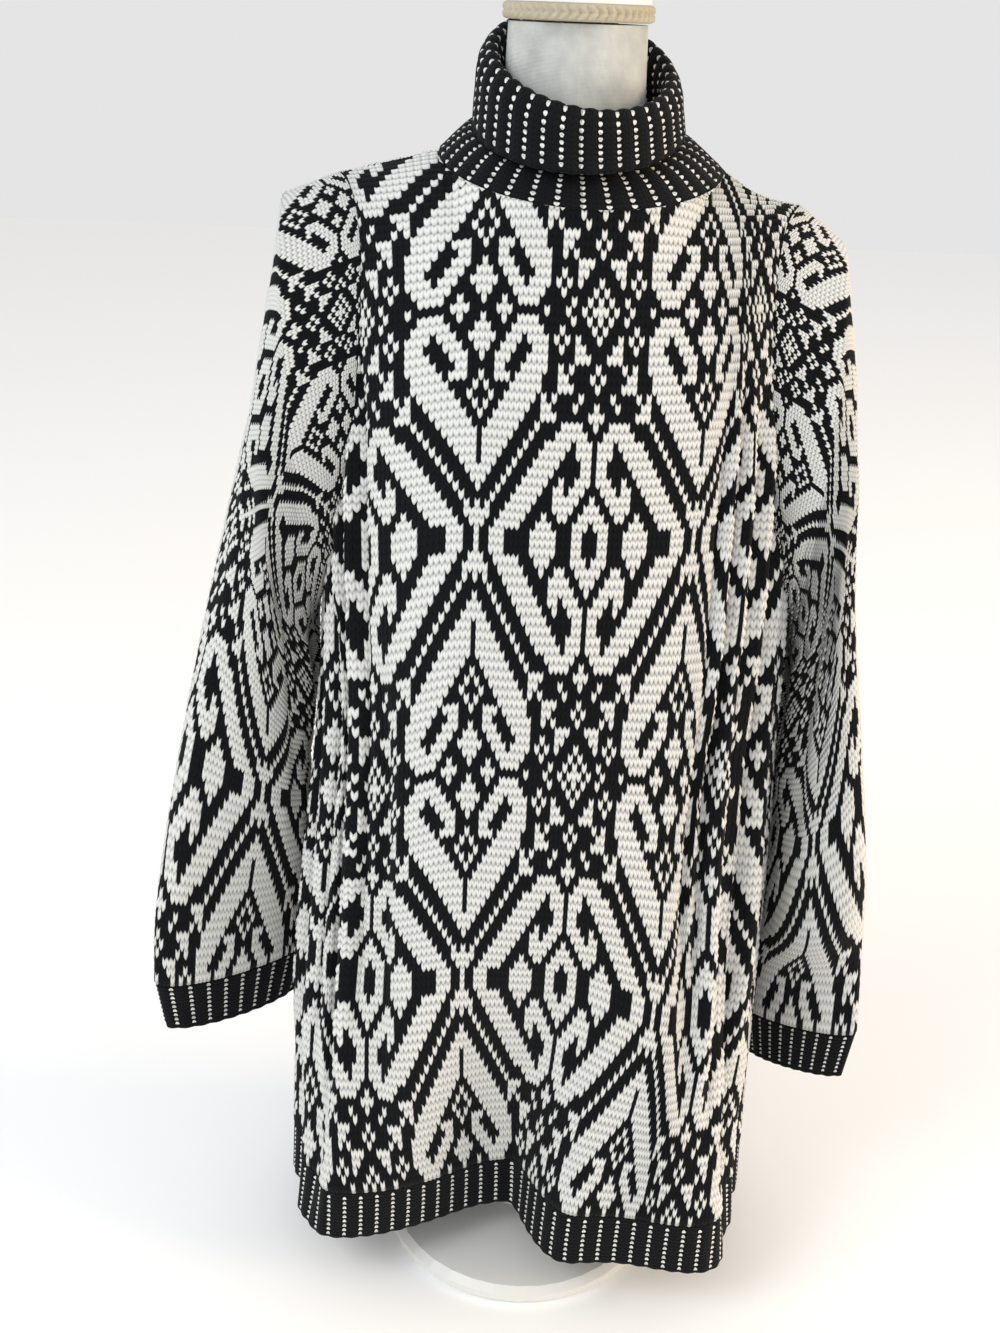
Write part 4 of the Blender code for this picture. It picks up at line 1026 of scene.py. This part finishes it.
# The studio: a pale paper floor that runs out into a white background, a cool soft light from the left and
# above, a warm one further off at the right, a small one in front, and the camera at the photograph's place.
REACH = 6.0
floor_mesh = bpy.data.meshes.new("floor")
floor_corners = [(-REACH, -REACH, 0.0), (REACH, -REACH, 0.0), (REACH, REACH, 0.0), (-REACH, REACH, 0.0)]
floor_mesh.from_pydata(floor_corners, [], [(0, 1, 2, 3)])
floor_paper = plain_finish("floor_paper", (0.97, 0.97, 0.97), (0.96, 0.96, 0.96), 0.9, 2.0, 0.0001)
floor_mesh.materials.append(floor_paper)
floor = bpy.data.objects.new("floor", floor_mesh)
bpy.context.scene.collection.objects.link(floor)

world = bpy.data.worlds.new("studio")
world.use_nodes = True
background = world.node_tree.nodes["Background"]
background.inputs["Color"].default_value = (1.0, 1.0, 1.0, 1.0)
background.inputs["Strength"].default_value = 0.78
bpy.context.scene.world = world


def place_at(made, axes, place):
    """Sets an object's three axes, as unit vectors, and its place."""
    rows = np.column_stack([*axes, place])
    made.matrix_world = mathutils.Matrix([*rows.tolist(), (0.0, 0.0, 0.0, 1.0)])


def soft_light(name, place, towards, size, power, colour):
    """A square area light that faces a point."""
    data = bpy.data.lights.new(name, "AREA")
    data.size = size
    data.energy = power
    data.color = colour
    lamp = bpy.data.objects.new(name, data)
    bpy.context.scene.collection.objects.link(lamp)
    back = unit(np.array(place) - np.array(towards))
    side = unit(np.cross([0.0, 0.0, 1.0], back))
    up = np.cross(back, side)
    place_at(lamp, (side, up, back), place)


soft_light("cool_key", (-2.0, -1.6, 2.6), (0.0, 0.0, 0.6), 1.6, 44.0, (0.90, 0.96, 1.0))
soft_light("warm_fill", (4.2, -0.8, 2.0), (0.0, 0.0, 0.5), 2.2, 130.0, (1.0, 0.77, 0.50))
soft_light("front_fill", (0.0, -2.6, 1.3), (0.0, 0.0, 0.5), 1.4, 10.0, (0.97, 0.99, 1.0))

CAMERA_PLACE = (-0.034, -1.036, 0.988)
PITCH, ROLL = math.radians(24.0), math.radians(2.2)
SENSOR = 36.0
FOCAL_PIXELS, PICTURE_HEIGHT = 1500.0, 1333.0
forward = np.array([0.0, math.cos(PITCH), -math.sin(PITCH)])
level = np.array([1.0, 0.0, 0.0])
upward = np.cross(level, forward)
camera_data = bpy.data.cameras.new("camera")
camera_data.lens = SENSOR * FOCAL_PIXELS / PICTURE_HEIGHT
camera_data.sensor_width = SENSOR
camera_data.clip_start = 0.05
camera = bpy.data.objects.new("camera", camera_data)
bpy.context.scene.collection.objects.link(camera)
rolled_level = math.cos(ROLL) * level + math.sin(ROLL) * upward
rolled_upward = math.cos(ROLL) * upward - math.sin(ROLL) * level
place_at(camera, (rolled_level, rolled_upward, -forward), CAMERA_PLACE)
bpy.context.scene.camera = camera
bpy.context.scene.view_settings.view_transform = "Standard"
